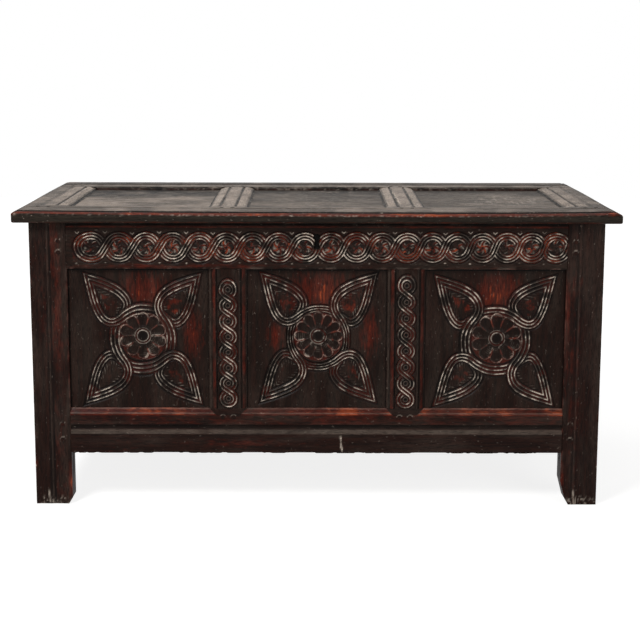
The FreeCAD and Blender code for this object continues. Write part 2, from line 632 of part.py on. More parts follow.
def bolt_guide(setback: float) -> Part.Shape:
    """A bridge on the lock plate that the bolt slides through."""
    front = BOLT_TIP - setback
    hole_y = grow(around(POCKET_MIDDLE, BOLT_THICKNESS), BOLT_FIT)
    hole_z = grow(BOLT_SPAN, BOLT_FIT)
    outer = block((front - GUIDE_WIDTH, front), (hole_y[0] - GUIDE_WALL, RAIL_THICKNESS),
                  grow(hole_z, GUIDE_WALL))
    hole = block((front - GUIDE_WIDTH - BEYOND, front + BEYOND), hole_y, hole_z)
    return FRONT.placed(outer.cut(hole))


def lock_spring() -> Part.Shape:
    """A leaf spring that steadies the bolt from above."""
    span = (BOLT_TIP - SPRING_SPAN[1], BOLT_TIP - SPRING_SPAN[0])
    low = BOLT_TOP + BOLT_FIT
    thick = around(POCKET_MIDDLE, BOLT_THICKNESS)
    leaf = block(span, thick, (low, low + SPRING_THICKNESS))
    foot_top = (low + CASE_HEIGHT - LOCK_PLATE_THICKNESS) / 2 + SPRING_THICKNESS
    foot = block((span[0], span[0] + SPRING_FOOT), (thick[0], RAIL_THICKNESS), (low, foot_top))
    return FRONT.placed(joined([leaf, foot]))


def staple_nail(side: int, gap: float) -> Part.Shape:
    """One nail of the staple's plate, in the front frame's own axes."""
    point = FreeCAD.Vector(side * (STAPLE_PLATE_HALF - STAPLE_NAIL_INSET), POCKET_MIDDLE, LID_UNDERSIDE)
    return sunk_nail(point, Z_AXIS, gap)


def lid_staple() -> Part.Shape:
    """The staple under the lid: a let-in plate with a loop that the bolt passes through."""
    plate = block((-STAPLE_PLATE_HALF, STAPLE_PLATE_HALF), around(POCKET_MIDDLE, STAPLE_PLATE_DEPTH),
                  (LID_UNDERSIDE, LID_UNDERSIDE + IRON_THICKNESS))
    eye_height = grow(BOLT_SPAN, STAPLE_EYE_ROOM)
    loop = block(around(0, STAPLE_WIDTH), around(POCKET_MIDDLE, 2 * STAPLE_HALF),
                 (eye_height[0] - STAPLE_BAR, LID_UNDERSIDE))
    eye = block(around(0, STAPLE_WIDTH + 2 * BEYOND), around(POCKET_MIDDLE, STAPLE_EYE_WIDTH), eye_height)
    holes = [staple_nail(side, NAIL_FIT) for side in (-1, 1)]
    return FRONT.placed(cut_all(joined([plate, loop]), [eye] + holes))


def staple_recess() -> Part.Shape:
    """The recess that lets the staple's plate into the lid, in the chest's axes."""
    return FRONT.placed(block(grow((-STAPLE_PLATE_HALF, STAPLE_PLATE_HALF), RECESS_FIT),
                              grow(around(POCKET_MIDDLE, STAPLE_PLATE_DEPTH), RECESS_FIT),
                              (LID_UNDERSIDE - BEYOND, LID_UNDERSIDE + IRON_THICKNESS)))


# ---- the lid's own cuts ----
def edge_round(x: Span) -> Part.Shape:
    """What rounds the upper edge of a board whose face is at y 0 and top at z 0."""
    square = block(x, (-BEYOND, LID_EDGE_ROUND), (-LID_EDGE_ROUND, BEYOND))
    start = FreeCAD.Vector(x[0], LID_EDGE_ROUND, -LID_EDGE_ROUND)
    keep = rod(LID_EDGE_ROUND, start, X_AXIS, x[1] - x[0])
    outside = block(x, (-BEYOND, 0), (-LID_EDGE_ROUND, BEYOND))
    return joined([square.cut(keep), outside])


def lid_edge_cuts() -> list[Part.Shape]:
    """The rounding of the lid's front and end edges, in the chest's axes."""
    reach = LID_HALF + BEYOND
    cuts = []
    for x, y, degrees in ((0, LID_FRONT, 0), (-LID_HALF, 0, -90), (LID_HALF, 0, 90)):
        cut = edge_round((-reach, reach))
        cut.Placement = FreeCAD.Placement(FreeCAD.Vector(x, y, LID_TOP), FreeCAD.Rotation(Z_AXIS, degrees))
        cuts.append(cut)
    return cuts


def write_case() -> None:
    """Write the case's stiles, frames, pegs and floor."""
    for y_name, y_side in (("front", -1), ("back", 1)):
        for x_name, x_side in (("left", -1), ("right", 1)):
            save(f"{y_name}_{x_name}_stile", stile(x_side, y_side))
    low_cuts = {"front": [floor_groove(), run_moulding()], "back": [floor_groove()]}
    high_cuts = {"front": lock_cuts()}
    leaf_holes = [nail(point, -Y_AXIS, NAIL_LENGTH, NAIL_FIT)
                  for middle in hinge_middles() for point in leaf_nail_points(middle)]
    names = {"front": ("left", "middle", "right"), "back": ("right", "middle", "left"),
             "left": ("back", "front"), "right": ("front", "back")}
    frames = {"front": FRONT, "back": BACK, "left": LEFT, "right": RIGHT}
    for side, frame in frames.items():
        top_rail = frame.rail(frame.high_rail, high_cuts.get(side, []))
        if side == "back":
            top_rail = cut_all(top_rail, leaf_holes)
        save(f"{side}_top_rail", top_rail)
        save(f"{side}_bottom_rail", frame.rail(frame.low_rail, low_cuts.get(side, [])))
        for place, opening in zip(names[side], frame.openings()):
            save(f"{side}_{place}_panel", frame.panel(opening))
    for side in ("front", "back"):
        ends = (names[side][0], names[side][-1])
        for place, span in zip(ends, frames[side].uprights):
            save(f"{side}_{place}_muntin", frames[side].upright(span))
        save(f"{side}_pegs", frames[side].pegs())
    for side in ("left", "right"):
        save(f"{side}_muntin", frames[side].upright(frames[side].uprights[0]))
    save("end_pegs", Part.makeCompound([LEFT.pegs(), RIGHT.pegs()]))
    for index in range(FLOOR_BOARDS):
        save(f"floor_board_{index + 1}", floor_board(index))


def write_lid() -> None:
    """Write the lid's frame, panels and pegs."""
    lid_nails = [sunk_nail(point, Z_AXIS, NAIL_FIT)
                 for middle in hinge_middles() for point in strap_nail_points(middle)]
    staple_nails = [FRONT.placed(staple_nail(side, NAIL_FIT)) for side in (-1, 1)]
    recesses = [strap_recess(middle) for middle in hinge_middles()] + [staple_recess()]
    cuts = lid_edge_cuts() + lid_nails + staple_nails + recesses
    save("lid_front_rail", cut_all(LID.rail(LID.low_rail, []), cuts))
    save("lid_back_rail", cut_all(LID.rail(LID.high_rail, []), cuts))
    uprights = ("lid_left_stile", "lid_left_muntin", "lid_right_muntin", "lid_right_stile")
    for name, span in zip(uprights, LID.uprights):
        save(name, cut_all(LID.upright(span), cuts))
    for place, opening in zip(("left", "middle", "right"), LID.openings()):
        save(f"lid_{place}_panel", LID.panel(opening))
    save("lid_pegs", LID.pegs())


def write_ironwork() -> None:
    """Write the hinges, the lock and their nails."""
    middles = hinge_middles()
    for side, middle in zip(("left", "right"), middles):
        save(f"{side}_hinge_leaf", hinge_leaf(middle))
        save(f"{side}_hinge_strap", hinge_strap(middle))
    save("hinge_pins", Part.makeCompound([hinge_pin(middle) for middle in middles]))
    leaf_nails = [nail(point, -Y_AXIS, NAIL_LENGTH, 0) for middle in middles
                  for point in leaf_nail_points(middle)]
    save("hinge_leaf_nails", Part.makeCompound(leaf_nails))
    strap_nails = [sunk_nail(point, Z_AXIS, 0) for middle in middles
                   for point in strap_nail_points(middle)]
    save("hinge_strap_nails", Part.makeCompound(strap_nails))
    save("lock_plate", lock_plate())
    save("lock_key_pin", key_pin())
    save("lock_bolt_guides", Part.makeCompound([bolt_guide(setback) for setback in GUIDE_SETBACKS]))
    save("lock_spring", lock_spring())
    save("lock_bolt", lock_bolt())
    lock_nails = [FRONT.placed(lock_nail(place, 0)) for place in lock_nail_places()]
    save("lock_nails", Part.makeCompound(lock_nails))
    save("lid_staple", lid_staple())
    save("staple_nails", Part.makeCompound([FRONT.placed(staple_nail(side, 0)) for side in (-1, 1)]))


os.makedirs("parts", exist_ok=True)
write_case()
write_lid()
write_ironwork()
print("overall", round(LID_LENGTH, 1), round(OVERALL_DEPTH, 1), round(LID_TOP, 1))
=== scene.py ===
"""Dresses the coffer chest: worn, waxed oak with a carved front, a moulded lid and its ironwork."""

from __future__ import annotations

import json
import logging
import math
from dataclasses import dataclass, field
from enum import Enum
from typing import Any, NamedTuple, Protocol, Sequence

import bmesh
import bpy
import numpy as np
from mathutils import Matrix, Vector

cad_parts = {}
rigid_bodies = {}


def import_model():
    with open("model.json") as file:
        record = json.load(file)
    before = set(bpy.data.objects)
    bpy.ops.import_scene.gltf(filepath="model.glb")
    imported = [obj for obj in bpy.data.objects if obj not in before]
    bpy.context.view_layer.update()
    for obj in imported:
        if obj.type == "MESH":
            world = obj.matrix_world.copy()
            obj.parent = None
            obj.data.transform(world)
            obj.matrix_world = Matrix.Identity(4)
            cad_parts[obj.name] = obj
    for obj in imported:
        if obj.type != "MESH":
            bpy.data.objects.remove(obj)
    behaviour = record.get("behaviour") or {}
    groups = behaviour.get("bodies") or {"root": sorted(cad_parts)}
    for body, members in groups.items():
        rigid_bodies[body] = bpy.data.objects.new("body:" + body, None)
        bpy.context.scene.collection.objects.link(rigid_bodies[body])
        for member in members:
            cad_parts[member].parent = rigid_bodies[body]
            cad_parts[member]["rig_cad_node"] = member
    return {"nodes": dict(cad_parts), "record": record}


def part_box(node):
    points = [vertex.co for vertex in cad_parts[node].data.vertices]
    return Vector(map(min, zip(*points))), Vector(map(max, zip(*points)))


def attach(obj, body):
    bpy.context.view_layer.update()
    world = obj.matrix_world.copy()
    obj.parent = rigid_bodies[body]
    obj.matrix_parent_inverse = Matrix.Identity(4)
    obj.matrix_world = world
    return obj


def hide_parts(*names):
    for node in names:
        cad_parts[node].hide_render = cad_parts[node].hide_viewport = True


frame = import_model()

MM = 0.001
MERGED = 0.002 * MM                  # points closer than this are one
ON_PLANE = 1e-6                      # metres; what lies this close to a plane lies on it
SHARP_ANGLE = math.radians(38)
FLAT_ANGLE = math.radians(0.5)
THINNEST_SKIN = 0.3                  # millimetres left of a board's skin where it is cut deepest
# Two corners of a box, in millimetres: a face whose middle lies in it is inside the chest, unstained.
ROOM = ((-647.0, -268.0, 140.0), (647.0, 281.0, 677.0))
# The same for the lid, where only the faces that look down are unstained.
UNDER_LID = ((-693.0, -304.0, 670.0), (693.0, 298.0, 720.0))
# How marks and waves run on, in millimetres across and up: long on a rail, tall on a post.
RAIL_STREAK = (60.0, 6.0)
POST_STREAK = (4.0, 60.0)
RAIL_WAVES = (160.0, 45.0)
# The posts of a frame with three panels, whether it is the front, the back or the lid.
UPRIGHTS = ("left_stile", "left_muntin", "right_muntin", "right_stile")
# Settings that several shader nodes share.
SMOOTH = {"interpolation_type": "SMOOTHSTEP"}
COLOURS = {"data_type": "RGBA"}
LOG = logging.getLogger("coffer")

Array = np.ndarray
Colour = tuple[float, float, float, float]
Place = tuple[float, float]
Zone = tuple[float, float, float]


# ---- small tools ----

def linear(code: str) -> Colour:
    """Turns an sRGB hex colour into the linear colour that shaders read.

    Args:
        code: The colour as six hex digits after a hash.

    Returns:
        Red, green and blue in linear light, and full opacity.
    """
    parts = [int(code[place:place + 2], 16) / 255 for place in (1, 3, 5)]
    red, green, blue = [p / 12.92 if p <= 0.04045 else ((p + 0.055) / 1.055) ** 2.4 for p in parts]
    return (red, green, blue, 1.0)


def add(tree: bpy.types.NodeTree, kind: str, settings: dict[str, Any] | None = None,
        inputs: dict[Any, Any] | None = None) -> bpy.types.Node:
    """Adds one shader node.

    Args:
        tree: The node tree that takes it.
        kind: The node's type name, without ShaderNode in front.
        settings: Values of the node's own options.
        inputs: For each socket's name or number, a value, or the output that feeds it.

    Returns:
        The new node.
    """
    node = tree.nodes.new(f"ShaderNode{kind}")
    for name, value in (settings or {}).items():
        setattr(node, name, value)
    for key, value in (inputs or {}).items():
        if isinstance(value, bpy.types.NodeSocket):
            tree.links.new(value, node.inputs[key])
        else:
            node.inputs[key].default_value = value
    return node


def blank_material(name: str) -> bpy.types.Material:
    """Makes a material with nothing in its node tree.

    Args:
        name: What it is called.

    Returns:
        The material.
    """
    material = bpy.data.materials.new(name)
    material.use_nodes = True
    material.node_tree.nodes.clear()
    return material


def finished(shape: bmesh.types.BMesh, name: str) -> bpy.types.Mesh:
    """Turns a worked shape into a mesh and frees it.

    Args:
        shape: The shape.
        name: What the mesh is called.

    Returns:
        The mesh.
    """
    mesh = bpy.data.meshes.new(name)
    shape.to_mesh(mesh)
    shape.free()
    return mesh


def edges_in(parts: Sequence[Any]) -> list[bmesh.types.BMEdge]:
    """The edges among some corners, edges and faces."""
    return [part for part in parts if isinstance(part, bmesh.types.BMEdge)]


def sliced(shape: bmesh.types.BMesh, point: Vector, facing: Vector, near: float = ON_PLANE,
           clear: bool = True) -> list[bmesh.types.BMEdge]:
    """Cuts a shape along a plane.

    Args:
        shape: What is cut.
        point: A point on the plane.
        facing: The way that the plane faces.
        near: How close to the plane a corner has to be to lie on it.
        clear: Whether what is in front of the plane goes.

    Returns:
        The edges along the cut.
    """
    cut = bmesh.ops.bisect_plane(shape, geom=shape.verts[:] + shape.edges[:] + shape.faces[:], dist=near,
                                 plane_co=point, plane_no=facing, clear_outer=clear)
    return edges_in(cut["geom_cut"])


def linked(name: str, data: bpy.types.ID) -> bpy.types.Object:
    """Puts a mesh, a light or a camera in the scene.

    Args:
        name: What it is called there.
        data: The mesh, light or camera.

    Returns:
        The object that holds it.
    """
    thing = bpy.data.objects.new(name, data)
    bpy.context.scene.collection.objects.link(thing)
    return thing


def ease(low: float, high: float, values: Array) -> Array:
    """Runs smoothly from 0 at low to 1 at high."""
    part = np.clip((values - low) / (high - low), 0, 1)
    return part * part * (3 - 2 * part)


def bump(values: Array, width: float) -> Array:
    """A round hump, 1 where the values are 0 and gone a few widths away."""
    return np.exp(-(values / width) ** 2)


class Unevenness:
    """Smooth, repeatable unevenness, read from a table of random numbers."""

    def __init__(self, seed: int) -> None:
        """Fills the table with the random numbers that a seed gives."""
        self.size = 97
        self.table = np.random.default_rng(seed).random((self.size, self.size))

    def at(self, across: Array, up: Array, wide: float, tall: float) -> Array:
        """Reads the unevenness at some places.

        Args:
            across: Places across the board, in millimetres.
            up: Places up the board, in millimetres.
            wide: Width of one lump.
            tall: Height of one lump.

        Returns:
            Values from 0 to 1.
        """
        x, y = across / wide + 31.7, up / tall + 47.3
        column, row = np.floor(x).astype(int), np.floor(y).astype(int)
        right, top = ease(0, 1, x - column), ease(0, 1, y - row)
        corners = [self.table[(column + i) % self.size, (row + j) % self.size]
                   for j in (0, 1) for i in (0, 1)]
        lower = corners[0] + (corners[1] - corners[0]) * right
        upper = corners[2] + (corners[3] - corners[2]) * right
        return lower + (upper - lower) * top

    def rough(self, across: Array, up: Array, wide: float, tall: float) -> Array:
        """Three sizes of unevenness together, from 0 to 1."""
        return (0.55 * self.at(across, up, wide, tall) + 0.3 * self.at(up, across, tall / 2.3, wide / 2.3)
                + 0.15 * self.at(across, up, wide / 5.1, tall / 5.1))


WORN = Unevenness(seed=4)


def stops(low: float, high: float, pitch: float, zones: Sequence[Zone] = ()) -> Array:
    """Places of a skin's mesh lines: close near both edges and in the fine zones.

    Args:
        low: The first place.
        high: The last place.
        pitch: The widest spacing.
        zones: Start, end and spacing of each stretch that needs finer lines.

    Returns:
        The places, in rising order.
    """
    finest = 0.45
    places = [low]
    while places[-1] < high - finest:
        here = places[-1]
        edge = min(here - low, high - here)
        fine = [spacing for start, end, spacing in zones if start - pitch <= here < end]
        places.append(here + max(finest, min([pitch, finest + 0.3 * edge] + fine)))
    places[-1] = high
    return np.array(places)


def flowing(points: Sequence[Place], pieces: int = 6) -> Array:
    """A smooth line through some points.

    Args:
        points: The points that the line passes through.
        pieces: Straight pieces between two neighbouring points.

    Returns:
        The points of the finer line.
    """
    given = np.array(points)
    padded = np.vstack([2 * given[0] - given[1], given, 2 * given[-1] - given[-2]])
    line = []
    for before, start, end, after in zip(padded, padded[1:], padded[2:], padded[3:]):
        for part in np.arange(pieces) / pieces:
            line.append(0.5 * (2 * start + (end - before) * part
                               + (2 * before - 5 * start + 4 * end - after) * part ** 2
                               + (3 * start - before - 3 * end + after) * part ** 3))
    return np.array(line + [given[-1]])


def beside(across: Array, up: Array, line: Array) -> tuple[Array, Array]:
    """Where places lie beside a line.

    Args:
        across: Places across the board.
        up: Places up the board.
        line: The line's points.

    Returns:
        Distance to the line, positive on its left, and the way travelled along it.
    """
    best = np.full(across.shape, np.inf)
    side = np.ones(across.shape)
    travelled = np.zeros(across.shape)
    way = 0.0
    for start, end in zip(line, line[1:]):
        step = end - start
        length = math.hypot(*step)
        x, y = across - start[0], up - start[1]
        part = np.clip((x * step[0] + y * step[1]) / length ** 2, 0, 1)
        distance = np.hypot(x - part * step[0], y - part * step[1])
        nearer = distance < best
        best = np.where(nearer, distance, best)
        side = np.where(nearer, np.sign(step[0] * y - step[1] * x), side)
        travelled = np.where(nearer, way + part * length, travelled)
        way += length
    return best * side, travelled


# ---- finishes ----

class Grain(Enum):
    """The way that the oak's grain runs in a piece."""

    ALONG_X = 0
    ALONG_Y = 1
    ALONG_Z = 2

    def scale(self, wide: float, length: float) -> tuple[float, float, float]:
        """Pattern scale for marks of some width and length.

        Args:
            wide: Width of a mark across the grain, in millimetres.
            length: Length of a mark along the grain, in millimetres.

        Returns:
            Marks per metre along X, Y and Z.
        """
        per_metre = [1 / (wide * MM)] * 3
        per_metre[self.value] = 1 / (length * MM)
        return (per_metre[0], per_metre[1], per_metre[2])


class Mark(Enum):
    """What years of use leave on the oak, with painted shade and painted highlights, each kept as an
    attribute of the mesh.
    """

    # Pale: rubbed wear, and painted highlights on crests, rims and glints.
    PALE = "rubbed_crests"
    RED = "worn_red"
    # Dust, and painted highlight on beads and on bevels that face up.
    DUST = "dust"
    # Black: packed wax, and painted shade in cuts, grooves, hollows and gaps.
    GRIME = "packed_wax"


PALE, RED, DUST, GRIME = Mark


class Finish(Protocol):
    """Anything that can give a piece its material."""

    def material(self, grain: Grain) -> bpy.types.Material:
        """Makes or finds the material for a piece with that grain."""


@dataclass(frozen=True)
class Oak:
    """Cleft oak, stained and waxed: dark ground, red where it has rubbed through, open grain.

    The eye gets a near-black brown that turns oxblood and then orange on worn places; pale
    grey-brown on the crests of the carving, partly wear and partly painted highlight; black in
    its cuts, grooves and gaps, partly packed wax and partly painted shade; and a soft wax sheen
    broken by the pores.
    """

    name: str
    ground: str = "#1a0c08"
    figure: str = "#29130d"
    rubbed: str = "#45160d"
    bare: str = "#8f3c1c"
    # pale crests: rubbed wear and painted highlight
    crest: str = "#cbbcad"
    # dust, and painted highlight on beads and on bevels that face up
    dust: str = "#75695f"
    # black: packed wax and painted shade
    grime: str = "#090605"
    red_everywhere: float = 0.0      # how much of the rubbed red shows away from the marks
    chips: float = 0.09
    roughness: float = 0.46
    gloss: float = 0.05
    wax: float = 0.02
    pore_depth: float = 0.25         # millimetres

    def fields(self, tree: bpy.types.NodeTree, grain: Grain) -> dict[str, bpy.types.NodeSocket]:
        """Adds the noises that the look is mixed from.

        Real sizes across and along the grain, in millimetres. Oak's pores are 0.3 mm wide: they
        are drawn at 1.3 mm, or they would be too fine to show.

        Args:
            tree: The node tree that takes them.
            grain: The way that the grain runs.

        Returns:
            Each noise by name.
        """
        place = add(tree, "TexCoord").outputs["Object"]
        sizes = {"pores": (1.3, 16.0, 2.0), "rings": (7.0, 180.0, 3.0), "stain": (55.0, 150.0, 4.0),
                 "wear": (6.0, 20.0, 5.0), "chips": (4.5, 9.0, 3.0)}
        noises = {}
        for key, (wide, length, detail) in sizes.items():
            scaled = add(tree, "Mapping", inputs={"Vector": place, "Scale": grain.scale(wide, length)})
            noises[key] = add(tree, "TexNoise", inputs={
                "Vector": scaled.outputs[0], "Scale": 1.0, "Detail": detail}).outputs["Fac"]
        return noises

    def material(self, grain: Grain) -> bpy.types.Material:
        """Makes or finds the oak for one direction of the grain.

        Args:
            grain: The way that the grain runs.

        Returns:
            The material.
        """
        name = f"{self.name}_{grain.name.lower()}"
        if name in bpy.data.materials:
            return bpy.data.materials[name]
        material = blank_material(name)
        tree = material.node_tree
        noises = self.fields(tree, grain)
        pores = add(tree, "MapRange", SMOOTH, {
            "Value": noises["pores"], "From Min": 0.36, "From Max": 0.52}).outputs[0]
        figure = add(tree, "MapRange", inputs={
            "Value": noises["rings"], "From Min": 0.35, "From Max": 0.7}).outputs[0]
        marks = {mark: add(tree, "Attribute", {"attribute_name": mark.value}).outputs["Fac"]
                 for mark in Mark}
        patchy = add(tree, "MapRange", inputs={
            "Value": noises["stain"], "From Min": 0.42, "From Max": 0.75,
            "To Max": self.red_everywhere}).outputs[0]
        wanted = add(tree, "Math", {"operation": "ADD"}, {0: marks[RED], 1: patchy}).outputs[0]
        broken = add(tree, "Math", {"operation": "MULTIPLY_ADD"}, {
            0: noises["wear"], 1: 0.9, 2: -0.45}).outputs[0]
        scuffed = add(tree, "Math", {"operation": "MULTIPLY_ADD"}, {0: wanted, 1: 1.15, 2: broken}).outputs[0]
        red = add(tree, "MapRange", SMOOTH, {"Value": scuffed, "From Min": 0.22, "From Max": 0.95}).outputs[0]
        bare = add(tree, "MapRange", SMOOTH, {"Value": scuffed, "From Min": 0.9, "From Max": 1.45}).outputs[0]
        chipped = add(tree, "MapRange", SMOOTH, {
            "Value": noises["chips"], "From Min": 0.66, "From Max": 0.74, "To Max": self.chips}).outputs[0]
        pale = add(tree, "Math", {"operation": "MAXIMUM"}, {0: marks[PALE], 1: chipped}).outputs[0]
        colour = add(tree, "Mix", COLOURS, {
            0: figure, 6: linear(self.ground), 7: linear(self.figure)}).outputs[2]
        # The dust, black and pale marks carry painted highlight and painted shade as well as dust, wax and
        # wear.
        for share, code in ((red, self.rubbed), (bare, self.bare), (marks[DUST], self.dust),
                            (marks[GRIME], self.grime), (pale, self.crest)):
            colour = add(tree, "Mix", COLOURS, {0: share, 6: colour, 7: linear(code)}).outputs[2]
        shade = add(tree, "MapRange", inputs={"Value": pores, "To Min": 0.45}).outputs[0]
        colour = add(tree, "Mix", {"data_type": "RGBA", "blend_type": "MULTIPLY"}, {
            0: 1.0, 6: colour, 7: shade}).outputs[2]
        sheen = add(tree, "MapRange", inputs={
            "Value": noises["wear"], "From Min": 0.3, "From Max": 0.7,
            "To Min": self.roughness - 0.08, "To Max": self.roughness + 0.12}).outputs[0]
        relief = add(tree, "Math", {"operation": "MULTIPLY_ADD"}, {
            0: noises["rings"], 1: 0.5, 2: pores}).outputs[0]
        surface = add(tree, "Bump", inputs={
            "Strength": 0.6, "Distance": self.pore_depth * MM, "Height": relief}).outputs[0]
        shader = add(tree, "BsdfPrincipled", inputs={
            "Base Color": colour, "Roughness": sheen, "Specular IOR Level": self.gloss,
            "Coat Weight": self.wax, "Coat Roughness": 0.28, "Normal": surface})
        add(tree, "OutputMaterial", inputs={"Surface": shader.outputs[0]})
        return material


@dataclass(frozen=True)
class Iron:
    """Wrought iron, forged by hand and left black: dull, faintly hammered, brown in places."""

    name: str
    black: str = "#2b2927"
    brown: str = "#3f2c22"
    roughness: float = 0.5

    def material(self, grain: Grain) -> bpy.types.Material:
        """Makes or finds the iron; it has no grain, so every direction gives the same.

        Args:
            grain: Not used by iron.

        Returns:
            The material.
        """
        if self.name in bpy.data.materials:
            return bpy.data.materials[self.name]
        material = blank_material(self.name)
        tree = material.node_tree
        place = add(tree, "TexCoord").outputs["Object"]
        hammered, rust = 1 / (7 * MM), 1 / (14 * MM)
        dents = add(tree, "TexNoise", inputs={
            "Vector": place, "Scale": hammered, "Detail": 2.0}).outputs["Fac"]
        spots = add(tree, "TexNoise", inputs={"Vector": place, "Scale": rust, "Detail": 6.0}).outputs["Fac"]
        browned = add(tree, "MapRange", inputs={
            "Value": spots, "From Min": 0.48, "From Max": 0.68}).outputs[0]
        colour = add(tree, "Mix", COLOURS, {
            0: browned, 6: linear(self.black), 7: linear(self.brown)}).outputs[2]
        dull = add(tree, "MapRange", inputs={
            "Value": spots, "To Min": self.roughness - 0.1, "To Max": self.roughness + 0.25}).outputs[0]
        surface = add(tree, "Bump", inputs={
            "Strength": 0.5, "Distance": 0.4 * MM, "Height": dents}).outputs[0]
        shader = add(tree, "BsdfPrincipled", inputs={
            "Base Color": colour, "Metallic": 0.85, "Roughness": dull, "Normal": surface})
        add(tree, "OutputMaterial", inputs={"Surface": shader.outputs[0]})
        return material


FRAME_OAK = Oak("waxed_oak_frame", ground="#150a07", figure="#23110c", red_everywhere=0.25)
CARVED_OAK = Oak("waxed_oak_carved", ground="#150c08", figure="#20100b", red_everywhere=0.1)
LID_OAK = Oak("waxed_oak_lid", ground="#1b1612", figure="#2a241e", rubbed="#4f1e12", bare="#8c4020",
              dust="#8c7f74", red_everywhere=0.1, chips=0.3, roughness=0.5, gloss=0.05)
END_OAK = Oak("waxed_oak_ends", ground="#170c08", figure="#27140d", red_everywhere=0.3, chips=0.08)
# The back: plain oak without wax, painted lighter and browner than the front because little lamp light
# reaches it.
BACK_OAK = Oak("faded_oak_back", ground="#2c1c13", figure="#46301f", rubbed="#4d2d1b", bare="#5f3d26",
               crest="#8c7a68", red_everywhere=0.3, chips=0.1, roughness=0.66, gloss=0.12, wax=0.0)
PEG_OAK = Oak("waxed_oak_pegs", ground="#150d0a", figure="#2c1711", red_everywhere=0.35)
# Inside and underneath, the oak was never stained: a dry, brown, rougher face.
DRY_OAK = Oak("dry_oak", ground="#3b2a1c", figure="#5d4530", rubbed="#54341f", bare="#6b4a30",
              red_everywhere=0.2, chips=0.0, roughness=0.72, gloss=0.2, wax=0.0, pore_depth=0.4)
HINGE_IRON = Iron("wrought_iron_hinges")
LOCK_IRON = Iron("wrought_iron_lock", black="#383532", brown="#45342a", roughness=0.42)

SLOT_FINISHES: dict[str, Finish] = {
    "oak_frame": FRAME_OAK, "oak_carved": CARVED_OAK, "oak_lid": LID_OAK, "oak_floor": DRY_OAK,
    "oak_pegs": PEG_OAK, "hinge_iron": HINGE_IRON, "lock_iron": LOCK_IRON}


# ---- the show face of a board, and the work done on it ----

class Rect(NamedTuple):
    """A rectangle on a board's show face, in millimetres."""

    left: float
    bottom: float
    right: float
    top: float


@dataclass
class Surface:
    """The points of a show face, how deep they are cut, and the marks on them."""

    across: Array
    up: Array
    edge: Rect
    depth: Array = field(init=False)
    marks: dict[Mark, Array] = field(init=False)

    def __post_init__(self) -> None:
        """Starts flat and unmarked."""
        self.depth = np.zeros(self.across.shape)
        self.marks = {mark: np.zeros(self.across.shape) for mark in Mark}

    def uneven(self, wide: float, tall: float) -> Array:
        """How unevenly use has touched the points, from 0 to 1, in lumps of some size."""
        return WORN.rough(self.across, self.up, wide, tall)

    def sink(self, depth: Array) -> None:
        """Cuts the face down to a depth wherever it isn't deeper already."""
        self.depth = np.maximum(self.depth, depth)

    def stain(self, mark: Mark, amount: Array) -> None:
        """Strengthens one mark to an amount wherever it is weaker."""
        self.marks[mark] = np.maximum(self.marks[mark], np.clip(amount, 0, 1))

    def clear(self, mark: Mark, where: Array) -> None:
        """Takes a mark away by a share from 0 to 1."""
        self.marks[mark] = self.marks[mark] * (1 - np.clip(where, 0, 1))


class Work(Protocol):
    """Something that a tool, a hand or time does to a show face."""

    def cut(self, surface: Surface) -> None:
        """Changes the surface."""


class Edge(Enum):
    """One of the four edges of a show face."""

    LEFT = "left"
    RIGHT = "right"
    BOTTOM = "bottom"
    TOP = "top"

    def distance(self, surface: Surface) -> Array:
        """How far each point is from this edge."""
        place = surface.across if self in (Edge.LEFT, Edge.RIGHT) else surface.up
        return np.abs(place - getattr(surface.edge, self.value))


@dataclass(frozen=True)
class Arris:
    """Sharp edges that hands, brooms and knocks have rounded unevenly."""

    edges: tuple[Edge, ...] = tuple(Edge)
    radius: float = 1.6
    red: float = 0.7
    pale: float = 0.15

    def cut(self, surface: Surface) -> None:
        """Rounds the edges.

        Args:
            surface: The face to change.
        """
        wander = surface.uneven(26, 26)
        for edge in self.edges:
            distance = edge.distance(surface)
            radius = self.radius * (0.55 + 0.9 * wander)
            inside = np.clip(1 - distance / radius, 0, 1)
            surface.sink(radius * (1 - np.sqrt(1 - inside ** 2)))
            rubbed = np.exp(-distance / (1.5 * self.radius)) * ease(0.35, 0.7, wander)
            surface.stain(RED, self.red * rubbed)
            surface.stain(PALE, self.pale * rubbed * ease(0.5, 0.75, wander))


Profile = tuple[Place, ...]
Band = tuple[Mark, float, float, float]


@dataclass(frozen=True)
class Moulding:
    """A moulding scratched along one edge, with the marks that its bands have taken.

    The profile gives the depth at some distances from the edge, and a band gives a mark, where
    it starts and ends, and how strong it is.
    """

    edge: Edge
    profile: Profile
    bands: tuple[Band, ...] = ()
    softness: float = 0.7
    fade: float = 0.6                # half the way over which a band comes and goes

    def distance(self, surface: Surface) -> Array:
        """How far each point is from the moulding's edge."""
        return self.edge.distance(surface)

    def held(self, surface: Surface) -> Array:
        """Where the bands lie."""
        return np.ones(surface.across.shape)

    def cut(self, surface: Surface) -> None:
        """Runs the moulding.

        Args:
            surface: The face to change.
        """
        distance = self.distance(surface)
        places, depths = zip(*self.profile)
        soft = [np.interp(distance + shift * self.softness, places, depths, left=depths[0], right=0.0)
                for shift in (-1, -0.5, 0, 0.5, 1)]
        inside = distance > -0.01
        surface.sink(np.where(inside, np.mean(soft, axis=0), 0))
        patchy = surface.uneven(34, 34)
        for mark, start, end, amount in self.bands:
            band = ease(start - self.fade, start + self.fade, distance)
            band *= 1 - ease(end - self.fade, end + self.fade, distance)
            surface.stain(mark, amount * band * (0.35 + 1.1 * patchy) * self.held(surface))


def strip(edge: Edge, *bands: Band, fade: float = 0.6) -> Moulding:
    """Bands of marks along an edge that has no moulding."""
    return Moulding(edge, ((0, 0), (1, 0)), bands, fade=fade)


